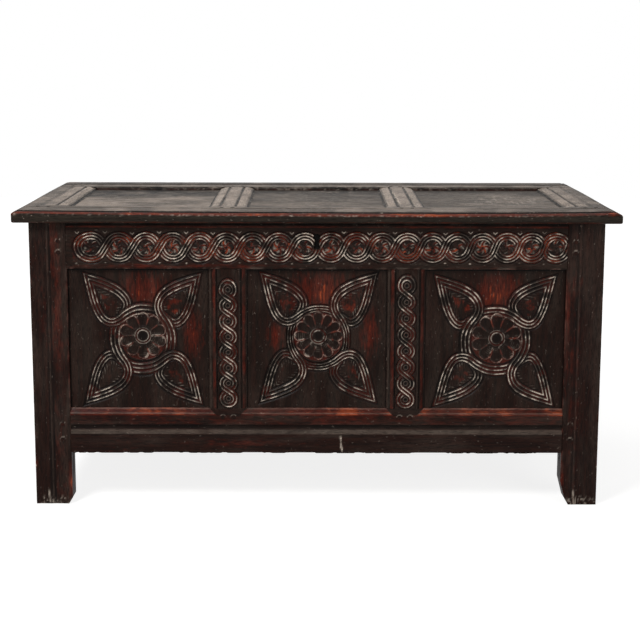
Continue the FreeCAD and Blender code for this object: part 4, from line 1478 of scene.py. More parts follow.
@dataclass
class Board:
    """One oak board: the joiner's solid behind, with its tenons and grooves, and a worked skin.

    The solid is cut off behind the show face, and a closed skin, finely meshed in front,
    takes the place of what was cut off.
    """

    node: str
    side: Side
    face: Rect
    works: Sequence[Work]
    grain: Grain
    skin: float = 9.5
    pitches: Place = (7.0, 7.0)      # the skin's widest mesh spacing, across and up
    fine_across: Sequence[Zone] = ()
    fine_up: Sequence[Zone] = ()
    eased: float = 1.2
    rubbed: float = 0.75             # how red the eased arrises are
    breaks: Sequence[Break] = ()
    finish: Finish | None = None     # where it isn't its slot's own

    def build(self) -> None:
        """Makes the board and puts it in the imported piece's place."""
        columns = stops(self.face.left, self.face.right, self.pitches[0], self.fine_across)
        rows = stops(self.face.bottom, self.face.top, self.pitches[1], self.fine_up)
        outward = box_of(self.node, self.side)[1][2]
        shape = self.skin_mesh(len(columns), len(rows))
        skin_points = len(shape.verts)
        behind = self.solid_behind(outward)
        shape.from_mesh(behind)
        bpy.data.meshes.remove(behind)
        mesh = finished(shape, f"worked_{self.node}")
        self.shape_skin(mesh, skin_points, columns, rows, outward)
        self.break_corners(mesh)
        self.paint_faces(mesh)
        stand_for(mesh, self.node)

    def skin_mesh(self, across: int, up: int) -> bmesh.types.BMesh:
        """A closed slab on a unit square, finely meshed in front at height 0 and closed behind at -1.

        Args:
            across: Mesh lines across.
            up: Mesh lines up.

        Returns:
            The slab.
        """
        shape = bmesh.new()
        bmesh.ops.create_grid(shape, x_segments=across - 1, y_segments=up - 1, size=0.5)
        rim = [edge for edge in shape.edges if edge.is_boundary]
        wall = bmesh.ops.extrude_edge_only(shape, edges=rim)["geom"]
        moved = [part for part in wall if isinstance(part, bmesh.types.BMVert)]
        bmesh.ops.translate(shape, verts=moved, vec=(0, 0, -1))
        back = [edge for edge in edges_in(wall) if all(vertex.co.z < -0.5 for vertex in edge.verts)]
        bmesh.ops.edgeloop_fill(shape, edges=back)
        bmesh.ops.recalc_face_normals(shape, faces=shape.faces)
        return shape

    def solid_behind(self, outward: float) -> bpy.types.Mesh:
        """The joiner's solid, merged, cut off behind the show face and eased at its arrises.

        Args:
            outward: How far out the show face lies, in millimetres.

        Returns:
            The solid as a mesh.
        """
        solid = bmesh.new()
        solid.from_mesh(frame["nodes"][self.node].data)
        bmesh.ops.remove_doubles(solid, verts=solid.verts, dist=MERGED)
        bmesh.ops.dissolve_limit(solid, angle_limit=FLAT_ANGLE, verts=solid.verts, edges=solid.edges)
        facing = Vector(self.side.value[2])
        rim = sliced(solid, facing * (outward - self.skin) * MM, facing)
        bmesh.ops.triangle_fill(solid, use_beauty=True, use_dissolve=True, edges=rim, normal=facing)
        bmesh.ops.recalc_face_normals(solid, faces=solid.faces)
        self.part_at_room(solid)
        if self.eased:
            rubbed = solid.verts.layers.float.new(RED.value)
            rounded = bmesh.ops.bevel(solid, geom=self.outer_arrises(solid), offset=self.eased * MM,
                                      offset_type="OFFSET", segments=2, profile=0.5, affect="EDGES",
                                      material=-1, clamp_overlap=True)
            strips = set(rounded["faces"])
            for vertex in rounded["verts"]:
                if all(face in strips for face in vertex.link_faces):
                    vertex[rubbed] = self.rubbed
        return finished(solid, "behind")

    def part_at_room(self, solid: bmesh.types.BMesh) -> None:
        """Parts the solid's faces where the inside of the chest begins, so that each has one finish.

        Args:
            solid: The merged solid.
        """
        if self.side is Side.TOP:
            return
        for limit in ROOM:
            for axis in range(3):
                point, facing = Vector(), Vector()
                point[axis], facing[axis] = limit[axis] * MM, 1.0
                sliced(solid, point, facing, clear=False)

    def outer_arrises(self, solid: bmesh.types.BMesh) -> list[bmesh.types.BMEdge]:
        """The edges along the solid's own outer box, apart from those that the skin covers.

        Args:
            solid: The merged solid.

        Returns:
            The edges to ease.
        """
        places = np.array([tuple(vertex.co) for vertex in solid.verts])
        low, high = places.min(0), places.max(0)
        facing = np.array(self.side.value[2], float)
        axis = int(np.abs(facing).argmax())
        covered = high[axis] if facing[axis] > 0 else low[axis]
        chosen = []
        for edge in solid.edges:
            ends = [np.array(tuple(vertex.co)) for vertex in edge.verts]
            held = [a for a in range(3) for limit in (low[a], high[a])
                    if all(abs(end[a] - limit) < ON_PLANE for end in ends)]
            if len(held) >= 2 and not all(abs(end[axis] - covered) < ON_PLANE for end in ends):
                chosen.append(edge)
        return chosen

    def shape_skin(self, mesh: bpy.types.Mesh, count: int, columns: Array, rows: Array,
                   outward: float) -> None:
        """Puts the skin's points in place, worked and marked.

        Args:
            mesh: The board's mesh, with the skin's points first.
            count: How many of the points are the skin's.
            columns: Places of the mesh lines across.
            rows: Places of the mesh lines up.
            outward: How far out the show face lies.
        """
        places = np.zeros(len(mesh.vertices) * 3)
        mesh.vertices.foreach_get("co", places)
        places = places.reshape(-1, 3)
        unit = places[:count]
        column = np.rint((unit[:, 0] + 0.5) * (len(columns) - 1)).astype(int)
        row = np.rint((unit[:, 1] + 0.5) * (len(rows) - 1)).astype(int)
        across, up = columns[column], rows[row]
        front = unit[:, 2] > -0.5
        surface = Surface(across[front], up[front], self.face)
        for work in self.works:
            work.cut(surface)
        depth = np.full(count, self.skin)
        depth[front] = np.clip(surface.depth, 0, self.skin - THINNEST_SKIN)
        local = np.stack([across, up, outward - depth], axis=1)
        places[:count] = local @ self.side.axes() * MM
        mesh.vertices.foreach_set("co", places.ravel())
        for mark in Mark:
            values = np.zeros(len(mesh.vertices), np.float32)
            kept = mesh.attributes.get(mark.value) or mesh.attributes.new(mark.value, "FLOAT", "POINT")
            kept.data.foreach_get("value", values)
            values[:count] = 0
            values[:count][front] = surface.marks[mark]
            kept.data.foreach_set("value", values)
        mesh.update()

    def break_corners(self, mesh: bpy.types.Mesh) -> None:
        """Takes off the corners that have broken away, and closes the fractures.

        Args:
            mesh: The board's mesh.
        """
        if not self.breaks:
            return
        shape = bmesh.new()
        shape.from_mesh(mesh)
        for fracture in self.breaks:
            rim = sliced(shape, Vector(fracture.point) * MM, Vector(fracture.facing), 0.1 * ON_PLANE)
            bmesh.ops.holes_fill(shape, edges=rim, sides=0)
        shape.to_mesh(mesh)
        shape.free()

    def paint_faces(self, mesh: bpy.types.Mesh) -> None:
        """Gives the show faces the board's finish, and the dry one to what the stain never reached.

        Args:
            mesh: The board's mesh.
        """
        finish = self.finish or SLOT_FINISHES[slot_of(self.node)]
        mesh.materials.append(finish.material(self.grain))
        mesh.materials.append(DRY_OAK.material(self.grain))
        normals, middles = np.zeros((2, len(mesh.polygons) * 3))
        mesh.polygons.foreach_get("normal", normals)
        mesh.polygons.foreach_get("center", middles)
        low, high = np.array(UNDER_LID if self.side is Side.TOP else ROOM) * MM
        middles = middles.reshape(-1, 3)
        inward = ((middles > low) & (middles < high)).all(axis=1)
        if self.side is Side.TOP:
            inward &= -(normals.reshape(-1, 3) @ self.side.axes()[2]) > 0.5
        mesh.polygons.foreach_set("material_index", inward.astype(np.int32))
        mesh.shade_smooth()
        mesh.set_sharp_from_angle(angle=SHARP_ANGLE)
        mesh.update()


LEFT_CARVING = PanelCarving(
    offset=(9.0, 6.0), drop=7.9, stretch=(0.995, 1.065), ring_widening=0.28, ring_shift=0.0, ring_stretch=1.0,
    petals=10, tip=55.0, rosette_shift=0.0, crest_width=0.74, crest=(0.7, 0.42), ring_crest=0.75,
    red_above=((62, 52), 0.8), red_right=0.75, red_left=0.15)
MIDDLE_CARVING = PanelCarving(
    offset=(4.0, 6.0), drop=4.6, stretch=(0.985, 1.055), ring_widening=-0.22, ring_shift=0.5,
    ring_stretch=1.02, petals=12, tip=56.5, rosette_shift=0.0, crest_width=0.76, crest=(0.72, 0.46),
    ring_crest=0.85, red_above=((84, 50), 0.85), red_right=0.7, red_left=0.6)
RIGHT_CARVING = PanelCarving(
    offset=(1.0, 1.0), drop=6.5, stretch=(1.02, 1.06), ring_widening=0.15, ring_shift=2.0, ring_stretch=1.055,
    petals=10, tip=59.0, rosette_shift=5.0, crest_width=0.8, crest=(0.92, 0.68), ring_crest=1.0,
    red_above=((62, 52), 0.85), red_right=0.1, red_left=0.15, mirrored=True)


@dataclass
class CaseFront:
    """The chest's show front: stiles, carved top rail, moulded bottom rail, muntins and panels."""

    frieze_middle: float = 618.8
    frieze_start: float = -521.0
    frieze_rounds: int = 20
    first_pitch: float = 63.1
    pitch_loss: float = 0.4          # the carver's rounds crowd together towards the right
    run_height: float = 195.0        # where the bottom rail's run moulding steps in
    muntin_rounds: tuple[Place, ...] = ((-518.5, 37.2), (-529.0, 38.9))  # each plait's start and pitch
    carvings: tuple[PanelCarving, ...] = (LEFT_CARVING, MIDDLE_CARVING, RIGHT_CARVING)
    openings: tuple[Rect, ...] = field(init=False)

    def __post_init__(self) -> None:
        """Reads the front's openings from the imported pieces."""
        posts = [f"front_{post}" for post in UPRIGHTS]
        self.openings = openings_between(posts, "front_bottom_rail", "front_top_rail")

    def pegs(self) -> tuple[Place, ...]:
        """Finds the pegs of the front's joints.

        Returns:
            Their middles, across and up.
        """
        stile = self.openings[-1].right + 19.0
        corners = [(hand * stile, height) for hand in (-1, 1) for height in (633.0, 607.0, 196.0, 159.0)]
        middles = [(left.right + right.left) / 2 for left, right in zip(self.openings, self.openings[1:])]
        uprights = [(middle + hand * 12.5, 214.0) for middle in middles for hand in (-1, 1)]
        return tuple(corners + uprights)

    def rounds(self) -> tuple[float, ...]:
        """Sets out the frieze's rounds.

        Returns:
            Their centres, from the left.
        """
        centres = [self.frieze_start]
        for number in range(self.frieze_rounds - 1):
            centres.append(centres[-1] + self.first_pitch - self.pitch_loss * number)
        return tuple(centres)

    def build(self) -> None:
        """Makes the front's nine boards."""
        for hand in (-1, 1):
            self.build_stile(hand)
        self.build_top_rail()
        self.build_bottom_rail()
        for number in (0, 1):
            self.build_muntin(number)
        for number in range(3):
            self.build_panel(number)

    def between_stiles(self, rail: str) -> Rect:
        """The part of a rail's face that shows between the corner stiles."""
        return face_of(rail)._replace(left=self.openings[0].left, right=self.openings[-1].right)

    def build_stile(self, hand: int) -> None:
        """Makes one corner stile.

        Args:
            hand: -1 for the left one, 1 for the right one.
        """
        name = "front_left_stile" if hand < 0 else "front_right_stile"
        face = face_of(name)
        if hand < 0:
            inner, start, outside, inside = Edge.RIGHT, 38, face.left, face.right
            rubbed = RubbedPatch((face.right - 22, 450), (13, 130), 0.55, streak=POST_STREAK)
            breaks = [Break((inside, 0, 15), (0.85, 0, -0.5)), Break((inside, 0, 6), (0.5, 0, -0.85))]
        else:
            inner, start, outside, inside = Edge.LEFT, 24, face.right, face.left
            rubbed = RubbedPatch((face.left + 6, 420), (6, 160), 0.5, streak=POST_STREAK)
            breaks = [Break((inside, 0, 34), (-0.87, 0, -0.5)), Break((inside + 13, 0, 8), (-0.97, 0, -0.25))]
        channel = ((0, 2.4), (2, 0.9), (5, 0), (start - 3, 0), (start, 0.7), (start + 3, 0.25),
                   (start + 9, 0.3), (start + 12, 0.7), (start + 15, 0))
        works: list[Work] = [
            Arris((Edge.LEFT, Edge.RIGHT), radius=2.2, pale=0.05), Arris((Edge.TOP,), radius=1.0),
            Arris((Edge.BOTTOM,), radius=3.0),
            # The channel's grooves are darkened with packed wax and painted shade.
            Moulding(inner, channel, bands=((RED, 14, 37, 0.28), (GRIME, start - 1, start + 4, 0.7),
                                            (DUST, start + 5, start + 8, 0.12),
                                            (GRIME, start + 9, start + 13, 0.5))),
            RubbedPatch((face.left + 43, 380), (24, 200), 0.12, streak=POST_STREAK), rubbed,
            RubbedPatch((inside, 60), (9, 50), 0.9, streak=(4.0, 30.0)),
            RubbedPatch((outside, 100), (5, 11), 1.0), Scuffs(Rect(outside - 3, 86, outside + 3, 108), 0.7),
            Scuffs(Rect(face.left - 5, -12, face.right + 5, 24), 0.4, (3.5, 5.0)),
            Settled(DUST, 0.0, 0.07, (25.0, 120.0)),
            PegHoles(self.pegs()), Crack((face.left + 30, 40), (face.left + 33, 0), wander=1.0), Undulation()]
        Board(name, Side.FRONT, face, works, Grain.ALONG_Z, pitches=(2.2, 3.5), breaks=breaks).build()

    def build_top_rail(self) -> None:
        """Makes the frieze with its plait."""
        face = self.between_stiles("front_top_rail")
        centres = self.rounds()
        between = tuple((left + right) / 2 for left, right in zip(centres, centres[1:]))
        strap = Strap(ridges=(-6.8, 0.0, 6.8), channel=3.3, crest_width=0.86)
        works: list[Work] = [
            Arris((Edge.TOP,), radius=1.5, red=0.6), Arris((Edge.BOTTOM,), radius=2.0, red=0.7),
            # A shallow step under the lid, painted black there as the lid's shadow, with a red line below it.
            Moulding(Edge.TOP, ((0, 1.6), (6.0, 1.6), (7.5, 0)),
                     ((GRIME, -1, 7.2, 1.6), (RED, 8.5, 12, 0.75))),
            Guilloche(centres, self.frieze_middle, 26.6, strap, Eye.PINWHEEL, first_stretch=1.2),
            GougeNicks((centres[0] - 33, *(place for place in between[:-1] if abs(place) > 12)), 653.0, 5.5),
            GougeNicks((centres[0] - 36, *between[:-1]), 582.0, 5.0, hanging=False),
            RubbedPatch((-300, 575), (330, 7), 0.55, streak=RAIL_STREAK),
            RubbedPatch((300, 571), (300, 6), 0.3, streak=RAIL_STREAK),
            RubbedPatch((-560, 620), (14, 40), 0.5), Settled(DUST, 0.0, 0.06, (120.0, 25.0)),
            PegHoles(self.pegs()), Keyhole((0.0, 643.5)), Undulation(lump=RAIL_WAVES)]
        Board("front_top_rail", Side.FRONT, face, works, Grain.ALONG_X, pitches=(1.3, 3.0),
              fine_up=((583.0, 660.0, 1.25),)).build()

    def build_bottom_rail(self) -> None:
        """Makes the bottom rail with its sill bevels and run moulding."""
        face = self.between_stiles("front_bottom_rail")
        drop = face.top - self.run_height
        run = ((0, 0), (drop, 0), (drop + 0.8, 5.2), (drop + 9, 5.0), (drop + 12, 3.6), (drop + 23, 0),
               (drop + 90, 0))
        works: list[Work] = [
            # On the sill bevels, the pale lines along their edges are dust and painted highlight, and their
            # middles painted shade.
            MitredMoulding(Edge.TOP, ((0, 8.6), (2.5, 7.0), (12, 1.2), (14, 0)), openings=self.openings,
                           bands=((DUST, 0.5, 3.8, 0.34), (GRIME, 4.2, 9.8, 0.3),
                                  (DUST, 10.2, 13.4, 0.34), (RED, 0, 17, 0.85)), sills_only=True),
            # Along the run moulding, the sunk flat is painted as shade, and the slope that faces up is
            # lighter with dust and painted highlight.
            Moulding(Edge.TOP, run, bands=((RED, 15, drop - 1, 0.33),
                                           (DUST, drop + 12, drop + 22, 0.3),
                                           (GRIME, drop, drop + 10, 0.6))),
            RaggedEdge(Edge.BOTTOM, deep=6.5, bite=4.5), PegHoles(self.pegs()),
            Crack((60.0, face.bottom), (57.0, 172.0), pale=0.75, wander=1.0),
            RubbedPatch((-180, 150), (240, 12), 0.35, streak=RAIL_STREAK),
            Settled(DUST, 0.0, 0.07, (120.0, 20.0)), Undulation(lump=RAIL_WAVES)]
        Board("front_bottom_rail", Side.FRONT, face, works, Grain.ALONG_X, pitches=(2.8, 2.2),
              fine_up=((170.0, 235.0, 1.4),)).build()

    def build_muntin(self, number: int) -> None:
        """Makes one muntin with its plait.

        Args:
            number: 0 for the left one, 1 for the right one.
        """
        before, after = self.openings[number:number + 2]
        face = before._replace(left=before.right, right=after.left)
        middle = (face.left + face.right) / 2
        # The left moulding's round lies further from its edge than the right one's.
        left_section = ((0, 6.8), (8, 6.4), (9.6, 4.8), (12, 2.6), (15, 1.2), (17.4, 0.8), (18.4, 3.0),
                        (20, 2.8), (21.2, 0.4), (24, 0))
        # The quirks are darkened with packed wax and painted shade.
        left_bands = ((RED, 9.5, 17.2, 0.5), (DUST, 2.5, 6.0, 0.14), (GRIME, 17.6, 21.0, 0.8))
        right_section = ((0, 6.8), (2, 6.0), (3.4, 4.2), (5.5, 2.4), (8.5, 1.0), (10.2, 0.8), (11.2, 3.0),
                         (13, 2.8), (14.4, 0.4), (18, 0))
        right_bands = ((RED, 2.8, 10.0, 0.5), (GRIME, 10.6, 14.0, 0.8), (DUST, 15, 18, 0.1))
        start, pitch = self.muntin_rounds[number]
        centres = tuple(start + pitch * step for step in range(8))
        strap = Strap(ridges=(-3.9, 3.9), channel=2.7, crest_width=0.95)
        works: list[Work] = [
            Moulding(Edge.LEFT, left_section, left_bands), Moulding(Edge.RIGHT, right_section, right_bands),
            Guilloche(centres, middle + 1.2, 15.2, strap, Eye.BUTTON, upright=True, closed_end=True,
                      first_stretch=1.2, rise=2.5, crest=(1.0, 0.34), red=0.7),
            RubbedPatch((face.left + 14, 480), (3, 80), (0.8, 0.4)[number], streak=(4.0, 50.0)),
            Settled(DUST, 0.0, 0.06, (14.0, 60.0)), Undulation()]
        name = ("front_left_muntin", "front_right_muntin")[number]
        Board(name, Side.FRONT, face, works, Grain.ALONG_Z, pitches=(1.05, 1.1)).build()

    def build_panel(self, number: int) -> None:
        """Makes one carved panel.

        Args:
            number: 0 for the left one, 1 for the middle one, 2 for the right one.
        """
        name = ("front_left_panel", "front_middle_panel", "front_right_panel")[number]
        opening, carving = self.openings[number], self.carvings[number]
        x = (opening.left + opening.right) / 2 + carving.offset[0]
        y = (opening.bottom + opening.top) / 2 + carving.offset[1]
        strap = Strap(ridges=(-7.2, 0.0, 7.2), channel=2.9, crest_width=carving.crest_width)
        streak = (4.0, 34.0)
        works: list[Work] = [
            LeafKnot((x, y - carving.drop), carving, strap),
            Rosette((x + carving.rosette_shift, y), carving.petals, carving.tip),
            RubbedPatch((x + 5, y + 105), *carving.red_above, streak=streak),
            RubbedPatch((x + 118, y + 5), (26, 70), carving.red_right, streak=streak),
            RubbedPatch((x - 100, y), (26, 50), carving.red_left),
            Settled(DUST, 0.0, 0.05, (30.0, 90.0)), Undulation()]
        # Painted shadow along the panel's top and sides, under the rail and beside the posts.
        works += [strip(edge, (GRIME, 6.0, 6.0 + wide, 1.4))
                  for edge, wide in ((Edge.TOP, 6.5), (Edge.LEFT, 4.0), (Edge.RIGHT, 3.0))]
        fine = 1.18
        Board(name, Side.FRONT, face_of(name), works, Grain.ALONG_Z, skin=7.0, pitches=(4.0, 4.0), eased=0,
              fine_across=((opening.left, opening.right, fine),),
              fine_up=((opening.bottom, opening.top, fine),)).build()


class PanelDust(NamedTuple):
    """How much settles on one of the lid's panels, and how much darker it is towards its far edge."""

    name: str
    dust: float
    far_end: float                   # how far from its far edge the panel is darker
    far_grime: float
    fade: float                      # half the way over which that grime goes


@dataclass
class Lid:
    """The framed and panelled lid."""

    skin: float = 13.0
    front_skin: float = 16.6         # the front rail's edge is worn deepest
    lower_radius: float = 6.0
    bead: Profile = ((0, 8.4), (3.5, 8.0), (4.5, 5.6), (6, 4.4), (9, 3.4), (13, 2.4), (17, 1.0), (22, 0.4),
                     (27, 0.2), (28.6, 2.2), (31, 2.4), (32.4, 0), (66, 0), (67.5, 0.9), (69, 0), (140, 0))
    rail_bead: Profile = ((0, 8.4), (2, 4.4), (5, 1.6), (9, 0.3), (12, 0), (140, 0))
    near_groove: Profile = ((0, 0), (33, 0), (34, 2.6), (37, 2.8), (39, 0), (140, 0))
    far_groove: Profile = ((0, 0), (56, 0), (57.5, 3.4), (73, 3.4), (75, 0.8), (140, 0.8))
    front_thumb: Profile = ((0, 8.2), (1, 6.6), (3, 5.4), (6, 4.4), (9, 3.7), (11.5, 3.4), (12.5, 5.0),
                            (15, 5.0), (17, 1.4), (26, 0.4), (40, 0), (110, 0))
    left_thumb: Profile = ((0, 9.0), (2, 6.4), (5, 4.0), (9, 2.2), (12, 1.4), (13, 2.6), (14, 2.4),
                           (15, 0.2), (130, 0))
    right_thumb: Profile = ((0, 12.2), (1.5, 9.6), (4, 7.4), (8, 5.2), (13, 3.0), (18, 1.5), (21, 1.1),
                            (22, 2.8), (23, 2.6), (24.2, 0.3), (30, 0), (130, 0))
    panel_dusts: tuple[PanelDust, ...] = (
        PanelDust("lid_left_panel", 0.75, far_end=152.0, far_grime=0.9, fade=38.0),
        PanelDust("lid_middle_panel", 0.42, far_end=112.0, far_grime=0.78, fade=45.0),
        PanelDust("lid_right_panel", 0.4, far_end=95.0, far_grime=0.7, fade=60.0))
    openings: tuple[Rect, ...] = field(init=False)

    def __post_init__(self) -> None:
        """Reads the lid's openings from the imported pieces."""
        posts = [f"lid_{post}" for post in UPRIGHTS]
        self.openings = openings_between(posts, "lid_front_rail", "lid_back_rail", Side.TOP)

    def build(self) -> None:
        """Makes the lid's nine boards and its pegs."""
        self.build_rails()
        self.build_uprights()
        self.build_panels()
        self.build_pegs()

    def wear(self) -> WornDown:
        """How far use has lowered the lid towards its front."""
        return WornDown(-150.0, 230.0, 2.4)

    def build_pegs(self) -> None:
        """Makes the pegs, worn down with the lid until they are almost flush."""
        shape = bmesh.new()
        shape.from_mesh(frame["nodes"]["lid_pegs"].data)
        bmesh.ops.remove_doubles(shape, verts=shape.verts, dist=MERGED)
        top = box_of("lid_pegs", Side.TOP)[1][2]
        for vertex in shape.verts:
            if vertex.co.z / MM > top - 2.0:
                sunk = self.wear().drop(np.array(vertex.co.x / MM), np.array(vertex.co.y / MM))
                vertex.co.z -= (float(sunk) + 0.45) * MM
        mesh = finished(shape, "worked_lid_pegs")
        mesh.materials.append(LID_OAK.material(Grain.ALONG_X))
        stand_for(mesh, "lid_pegs")

    def lower_arris(self, name: str) -> list[Break]:
        """The facets that round a lid board's outer lower arrises.

        Args:
            name: The board.

        Returns:
            What is planed off it.
        """
        low, high = box_of(name, Side.TOP)
        ends = {"lid_left_stile": [(low[0], -1, 0)], "lid_right_stile": [(high[0], 1, 0)],
                "lid_back_rail": [(low[0], -1, 0), (high[0], 1, 0)],
                "lid_front_rail": [(low[0], -1, 0), (high[0], 1, 0), (low[1], 0, -1)]}
        facets = []
        for limit, outward_x, outward_y in ends.get(name, []):
            for angle in map(math.radians, (15, 45, 75)):
                away = limit - (outward_x + outward_y) * self.lower_radius * (1 - math.cos(angle))
                height = low[2] + self.lower_radius * (1 - math.sin(angle))
                point = (away, 0, height) if outward_x else (0, away, height)
                facets.append(Break(point, (outward_x * math.cos(angle), outward_y * math.cos(angle),
                                            -math.sin(angle))))
        return facets

    def shared(self) -> list[Work]:
        """The wear and dust of the whole lid."""
        everywhere = Rect(-700, -311, 700, 300)
        # The lid's dust also stands in for part of its grey sheen, as painted highlight.
        return [Settled(DUST, 0.2, 0.6), Scuffs(everywhere, 0.2, (6.0, 4.0)), self.wear()]

    def build_rails(self) -> None:
        """Makes the front and back rails, which run the lid's full length."""
        # Painted shade in the quirk by the panels, and the outer thumb mouldings darkened at their ends.
        bead = MitredMoulding(Edge.TOP, self.rail_bead, openings=self.openings,
                              bands=((GRIME, -0.5, 9, 0.9), (RED, -0.5, 2.5, 0.6)))
        ends = [Moulding(Edge.LEFT, self.left_thumb, ((GRIME, -1, 12.0, 0.5),)),
                Moulding(Edge.RIGHT, self.right_thumb, ((GRIME, -1, 20.0, 0.45),))]
        wear = self.shared() + [Undulation(lump=RAIL_WAVES)]
        for name in ("lid_front_rail", "lid_back_rail"):
            face = face_of(name, Side.TOP)
            breaks = self.lower_arris(name)
            if name == "lid_front_rail":
                skin = self.front_skin
                works = [bead, *self.groove(Edge.TOP, self.near_groove, 33, 40), *ends,
                         *self.front_edge(face), *wear, Wiped(Edge.BOTTOM, 18.0)]
                breaks += [Break((hand * (face.right - away), face.bottom + back, 0), (hand * turn, -1, 0))
                           for hand in (-1, 1) for away, back, turn in ((0, 2.6, 2.4), (2.6, 0, 0.42))]
            else:
                skin = self.skin
                works = [bead, *self.groove(Edge.BOTTOM, self.far_groove, 56, 76), *ends,
                         Arris((Edge.TOP,), radius=3.0),
                         RubbedPatch((face.left + 14, face.top - 5), (22, 9), 1.3),
                         # The rail is darker along its back edge.
                         strip(Edge.TOP, (GRIME, -1, 49, 0.6)), *wear,
                         Wiped(Edge.BOTTOM, 77.5, 70.0), Wiped(Edge.BOTTOM, 3.0)]
            Board(name, Side.TOP, face, works, Grain.ALONG_X, skin=skin, pitches=(4.0, 1.8), eased=2.2,
                  rubbed=0.4, breaks=breaks).build()

    def groove(self, inner: Edge, profile: Profile, start: float, end: float) -> list[Work]:
        """A rail's run groove, painted dark as its shade and a little red, from start to end."""
        return [Moulding(inner, profile, ((GRIME, start, end, 1.0), (RED, start, end, 0.5)))]

    def front_edge(self, face: Rect) -> list[Work]:
        """The front rail's moulded edge, rubbed by hands, most at the right, and knocked at its corners.

        Args:
            face: The rail's show face.

        Returns:
            What is done to it.
        """
        left, right, low = face.left, face.right, face.bottom
        # The thumb's quirk is painted dark as its shade.
        works = [Moulding(Edge.BOTTOM, self.front_thumb,
                          ((RED, 0.8, 11.0, 0.76), (GRIME, 11.4, 17.5, 1.2))),
                 Scuffs(Rect(left - 4, low - 4, right + 4, low + 5), 0.25),
                 RubbedPatch((250, low + 5), (430, 6.5), 1.08, streak=RAIL_STREAK),
                 RubbedPatch((left + 4, low + 2), (12, 9), 1.3),
                 RubbedPatch((right - 16, low + 9), (26, 12), 1.2)]
        works += [Scuffs(Rect(end - 12, low - 8, end + 12, low + 9), 0.8, (7.0, 5.0))
                  for end in (left, right)]
        return works

    def build_uprights(self) -> None:
        """Makes the end stiles and the muntins."""
        # Painted shade in the groove, at the panel's edge and along the far line; the bead and the flat
        # beyond the groove are lighter with dust and painted highlight; the outer thumb mouldings are
        # darkened.
        dark = ((GRIME, 28.2, 31.8, 1.1), (GRIME, 0, 5.0, 1.3), (GRIME, 62, 70, 0.4),
                (DUST, 9, 26, 0.9), (DUST, 34, 58, 0.75))
        near, far = self.openings[0].bottom, self.openings[0].top
        for name in [f"lid_{post}" for post in UPRIGHTS]:
            face = face_of(name, Side.TOP)._replace(bottom=near, top=far)
            bead = self.bead if name.endswith("stile") else self.bead[:13] + ((50, 0),)
            left, right = Moulding(Edge.LEFT, bead, dark), Moulding(Edge.RIGHT, bead, dark)
            if name == "lid_left_stile":
                left = Moulding(Edge.LEFT, self.left_thumb, ((GRIME, -1, 13.0, 0.5),))
            if name == "lid_right_stile":
                right = Moulding(Edge.RIGHT, self.right_thumb, ((GRIME, -1, 20.0, 0.5),))
            works: list[Work] = [left, right, *self.shared(),
                                 Arris((Edge.TOP, Edge.BOTTOM), radius=0.6, red=0.2), Undulation()]
            if name == "lid_right_muntin":
                works.append(Crack((face.left + 38, near + 20), (face.left + 34, far - 60), wander=3.0))
            Board(name, Side.TOP, face, works, Grain.ALONG_Y, skin=self.skin, pitches=(1.4, 4.0),
                  breaks=self.lower_arris(name)).build()

    def build_panels(self) -> None:
        """Makes the three plain panels."""
        for name, dust, far_end, far_grime, fade in self.panel_dusts:
            face = face_of(name, Side.TOP)
            # Each panel is darker towards its far edge by the back rail, the middle one over more of it.
            works: list[Work] = [Settled(DUST, 0.35 * dust, dust, (90.0, 40.0)), self.wear(),
                                 Scuffs(face, 0.12, (6.0, 4.0)), Undulation(0.5, (120.0, 35.0)),
                                 strip(Edge.TOP, (GRIME, -80, far_end, far_grime), fade=fade)]
            if name == "lid_middle_panel":
                works += [strip(Edge.TOP, (GRIME, -80, 235, 0.42), fade=20.0),
                          Crack((-57, -33), (-70, -194), deep=2.2, width=1.1, pale=0.05),
                          Scuffs(Rect(-30, face.top - 70, 130, face.top - 12), 0.25, (9.0, 16.0))]
            if name == "lid_right_panel":
                works += [Crack((face.left + 90, face.bottom + 60 + 70 * n),
                                (face.left + 190 + 30 * n, face.bottom + 90 + 70 * n), deep=0.4, pale=0.25)
                          for n in range(4)]
                bruised = Rect(face.left + 120, face.bottom + 80, face.left + 330, face.top - 90)
                works.append(Scuffs(bruised, 0.3, (5.0, 22.0)))
            Board(name, Side.TOP, face, works, Grain.ALONG_X, skin=6.0, pitches=(4.5, 4.0), eased=0).build()


@dataclass
class PlainFrame:
    """A plain panelled frame of the case: its back or one of its ends."""

    side: Side
    prefix: str
    posts: Sequence[str]
    finish: Finish
    bevel: Profile = ((0, 5.5), (2, 4.0), (5, 1.0), (7, 0))

    def build(self) -> None:
        """Makes the frame's rails, uprights and panels."""
        names = [name for name in frame["nodes"] if name.startswith(self.prefix)]
        openings = openings_between(self.posts, f"{self.prefix}bottom_rail", f"{self.prefix}top_rail",
                                    self.side)
        bevel = MitredMoulding(Edge.TOP, self.bevel, openings=openings)
        for name in names:
            if name.endswith("pegs") or "hinge" in name:
                continue
            face = face_of(name, self.side)
            works: list[Work] = [Undulation()]
            grain, skin, eased = Grain.ALONG_Z, 9.5, 1.2
            if name.endswith("rail"):
                grain = Grain.ALONG_X if self.side is Side.BACK else Grain.ALONG_Y
                face = face._replace(left=openings[0].left, right=openings[-1].right)
                works += [bevel, Arris((Edge.TOP, Edge.BOTTOM))]
            elif name.endswith("muntin"):
                face = face._replace(bottom=openings[0].bottom, top=openings[0].top)
                works.append(bevel)
            elif name.endswith("panel"):
                skin, eased = 6.0, 0.0
            else:
                works += [Arris((Edge.LEFT, Edge.RIGHT), radius=2.2), Arris((Edge.BOTTOM,), radius=5.0),
                          bevel]
            Board(name, self.side, face, works, grain, skin=skin, eased=eased, finish=self.finish).build()


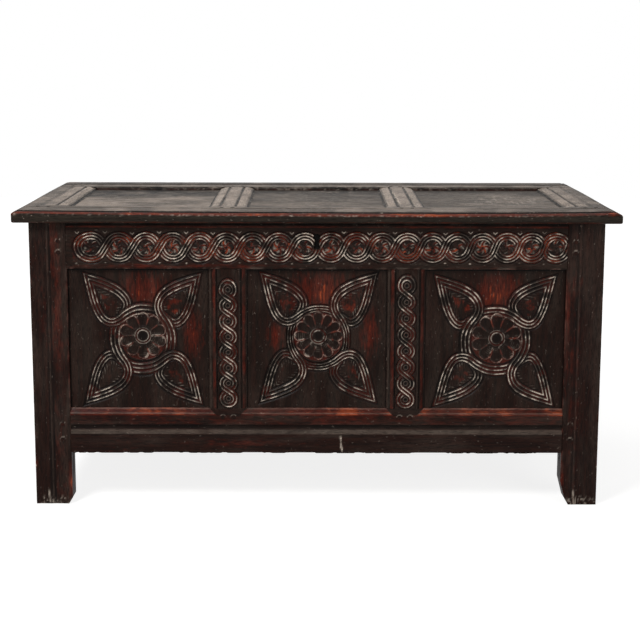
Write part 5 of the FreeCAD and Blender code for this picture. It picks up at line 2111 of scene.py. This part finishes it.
def dress_packed(replaced: Sequence[str]) -> None:
    """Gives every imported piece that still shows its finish.

    Args:
        replaced: Names of the pieces that the boards stand for.
    """
    for name, piece in frame["nodes"].items():
        if name in replaced:
            continue
        finish = SLOT_FINISHES[slot_of(name)]
        piece.data.materials.clear()
        # The floor boards run front to back, and on the other pieces no grain shows.
        piece.data.materials.append(finish.material(Grain.ALONG_Y))
        LOG.info("%s: dressed", name)


# ---- studio ----

@dataclass(frozen=True)
class Lamp:
    """One soft box: where it hangs, how big it is and how bright."""

    name: str
    place: tuple[float, float, float]
    size: Place
    power: float
    aim: tuple[float, float, float] = (0.0, 0.0, 0.4)

    def hang(self) -> None:
        """Hangs the lamp and turns it to its aim."""
        light = bpy.data.lights.new(self.name, "AREA")
        light.shape = "RECTANGLE"
        light.size, light.size_y = self.size
        light.energy = self.power
        lamp = linked(self.name, light)
        way = Vector(self.aim) - Vector(self.place)
        lamp.matrix_world = Matrix.Translation(self.place) @ way.to_track_quat("-Z", "Y").to_matrix().to_4x4()


@dataclass(frozen=True)
class Studio:
    """A pale floor and backdrop, soft lamps and the camera."""

    eye: tuple[float, float, float] = (-0.0063, -3.1141, 1.0644)
    pitch_down: float = 8.1526
    roll: float = 0.1197
    lens: float = 69.635
    shift: Place = (0.0091, -0.14)
    lamps: tuple[Lamp, ...] = (
        Lamp("key_soft_box", (-1.7, -2.3, 3.0), (1.0, 1.0), 125.0),
        Lamp("fill_soft_box", (2.4, -2.8, 1.5), (1.6, 1.6), 35.0),
        Lamp("top_soft_box", (0.0, 0.6, 3.0), (2.6, 1.2), 30.0))

    def set_up(self) -> None:
        """Makes the floor, the lamps, the world and the camera."""
        self.lay_floor()
        for lamp in self.lamps:
            lamp.hang()
        self.light_world()
        self.place_camera()
        bpy.context.scene.view_settings.view_transform = "Standard"

    def lay_floor(self) -> None:
        """Lays the pale floor that the shadow falls on."""
        shape = bmesh.new()
        bmesh.ops.create_grid(shape, x_segments=2, y_segments=2, size=6.0)
        floor = linked("studio_floor", finished(shape, "studio_floor"))
        material = blank_material("matt_white_floor")
        tree = material.node_tree
        matt = add(tree, "BsdfDiffuse", inputs={"Color": linear("#d8d6d2")})
        shadowed = add(tree, "BsdfDiffuse", inputs={"Color": linear("#8e8d8b")})
        place = add(tree, "TexCoord").outputs["Object"]
        away = add(tree, "VectorMath", {"operation": "LENGTH"}, {0: place}).outputs["Value"]
        strength = add(tree, "MapRange", SMOOTH, {
            "Value": away, "From Min": 0.8, "From Max": 1.9, "To Min": 0.84, "To Max": 1.0}).outputs[0]
        glow = add(tree, "Emission", inputs={"Color": linear("#ffffff"), "Strength": strength})
        both = add(tree, "AddShader", inputs={0: shadowed.outputs[0], 1: glow.outputs[0]})
        shown = add(tree, "MixShader", inputs={
            0: self.seen_straight(tree), 1: matt.outputs[0], 2: both.outputs[0]})
        add(tree, "OutputMaterial", inputs={"Surface": shown.outputs[0]})
        floor.data.materials.append(material)

    def seen_straight(self, tree: bpy.types.NodeTree) -> bpy.types.NodeSocket:
        """Adds the test for what the camera sees, itself or in a gloss or through glass.

        Args:
            tree: The node tree that takes it.

        Returns:
            1 for such rays, 0 for the light that falls on the chest.
        """
        path = add(tree, "LightPath")
        seen = path.outputs["Is Camera Ray"]
        for ray in ("Is Glossy Ray", "Is Transmission Ray"):
            seen = add(tree, "Math", {"operation": "MAXIMUM"}, {0: seen, 1: path.outputs[ray]}).outputs[0]
        return seen

    def light_world(self) -> None:
        """Gives the room a plain pale light, and white where the camera or a gloss sees it."""
        world = bpy.data.worlds.new("studio")
        bpy.context.scene.world = world
        world.use_nodes = True
        tree = world.node_tree
        tree.nodes.clear()
        room = add(tree, "Background", inputs={"Color": linear("#ffffff"), "Strength": 0.25})
        white = add(tree, "Background", inputs={"Color": linear("#ffffff"), "Strength": 1.0})
        shown = add(tree, "MixShader", inputs={
            0: self.seen_straight(tree), 1: room.outputs[0], 2: white.outputs[0]})
        add(tree, "OutputWorld", inputs={"Surface": shown.outputs[0]})

    def place_camera(self) -> None:
        """Stands the camera in front of the chest."""
        data = bpy.data.cameras.new("camera")
        data.lens = self.lens
        data.sensor_width = 36.0
        data.shift_x, data.shift_y = self.shift
        camera = linked("camera", data)
        tilt = Matrix.Rotation(math.radians(90 - self.pitch_down), 4, "X")
        roll = Matrix.Rotation(math.radians(self.roll), 4, "Z")
        camera.matrix_world = Matrix.Translation(self.eye) @ tilt @ roll
        bpy.context.scene.camera = camera


def main() -> None:
    """Builds the chest's looks, piece by piece, and the studio around it."""
    logging.basicConfig(level=logging.INFO, format="%(name)s %(message)s")
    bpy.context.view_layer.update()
    CaseFront().build()
    Lid().build()
    PlainFrame(Side.BACK, "back_", [f"back_{post}" for post in UPRIGHTS], BACK_OAK).build()
    for side, prefix in ((Side.LEFT, "left_"), (Side.RIGHT, "right_")):
        posts = [f"front_{prefix}stile", f"{prefix}muntin", f"back_{prefix}stile"]
        PlainFrame(side, prefix, posts, END_OAK).build()
    replaced = [piece["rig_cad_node"] for piece in frame["nodes"].values() if piece.hide_render]
    dress_packed(replaced)
    Studio().set_up()


if __name__ == "__main__":
    main()
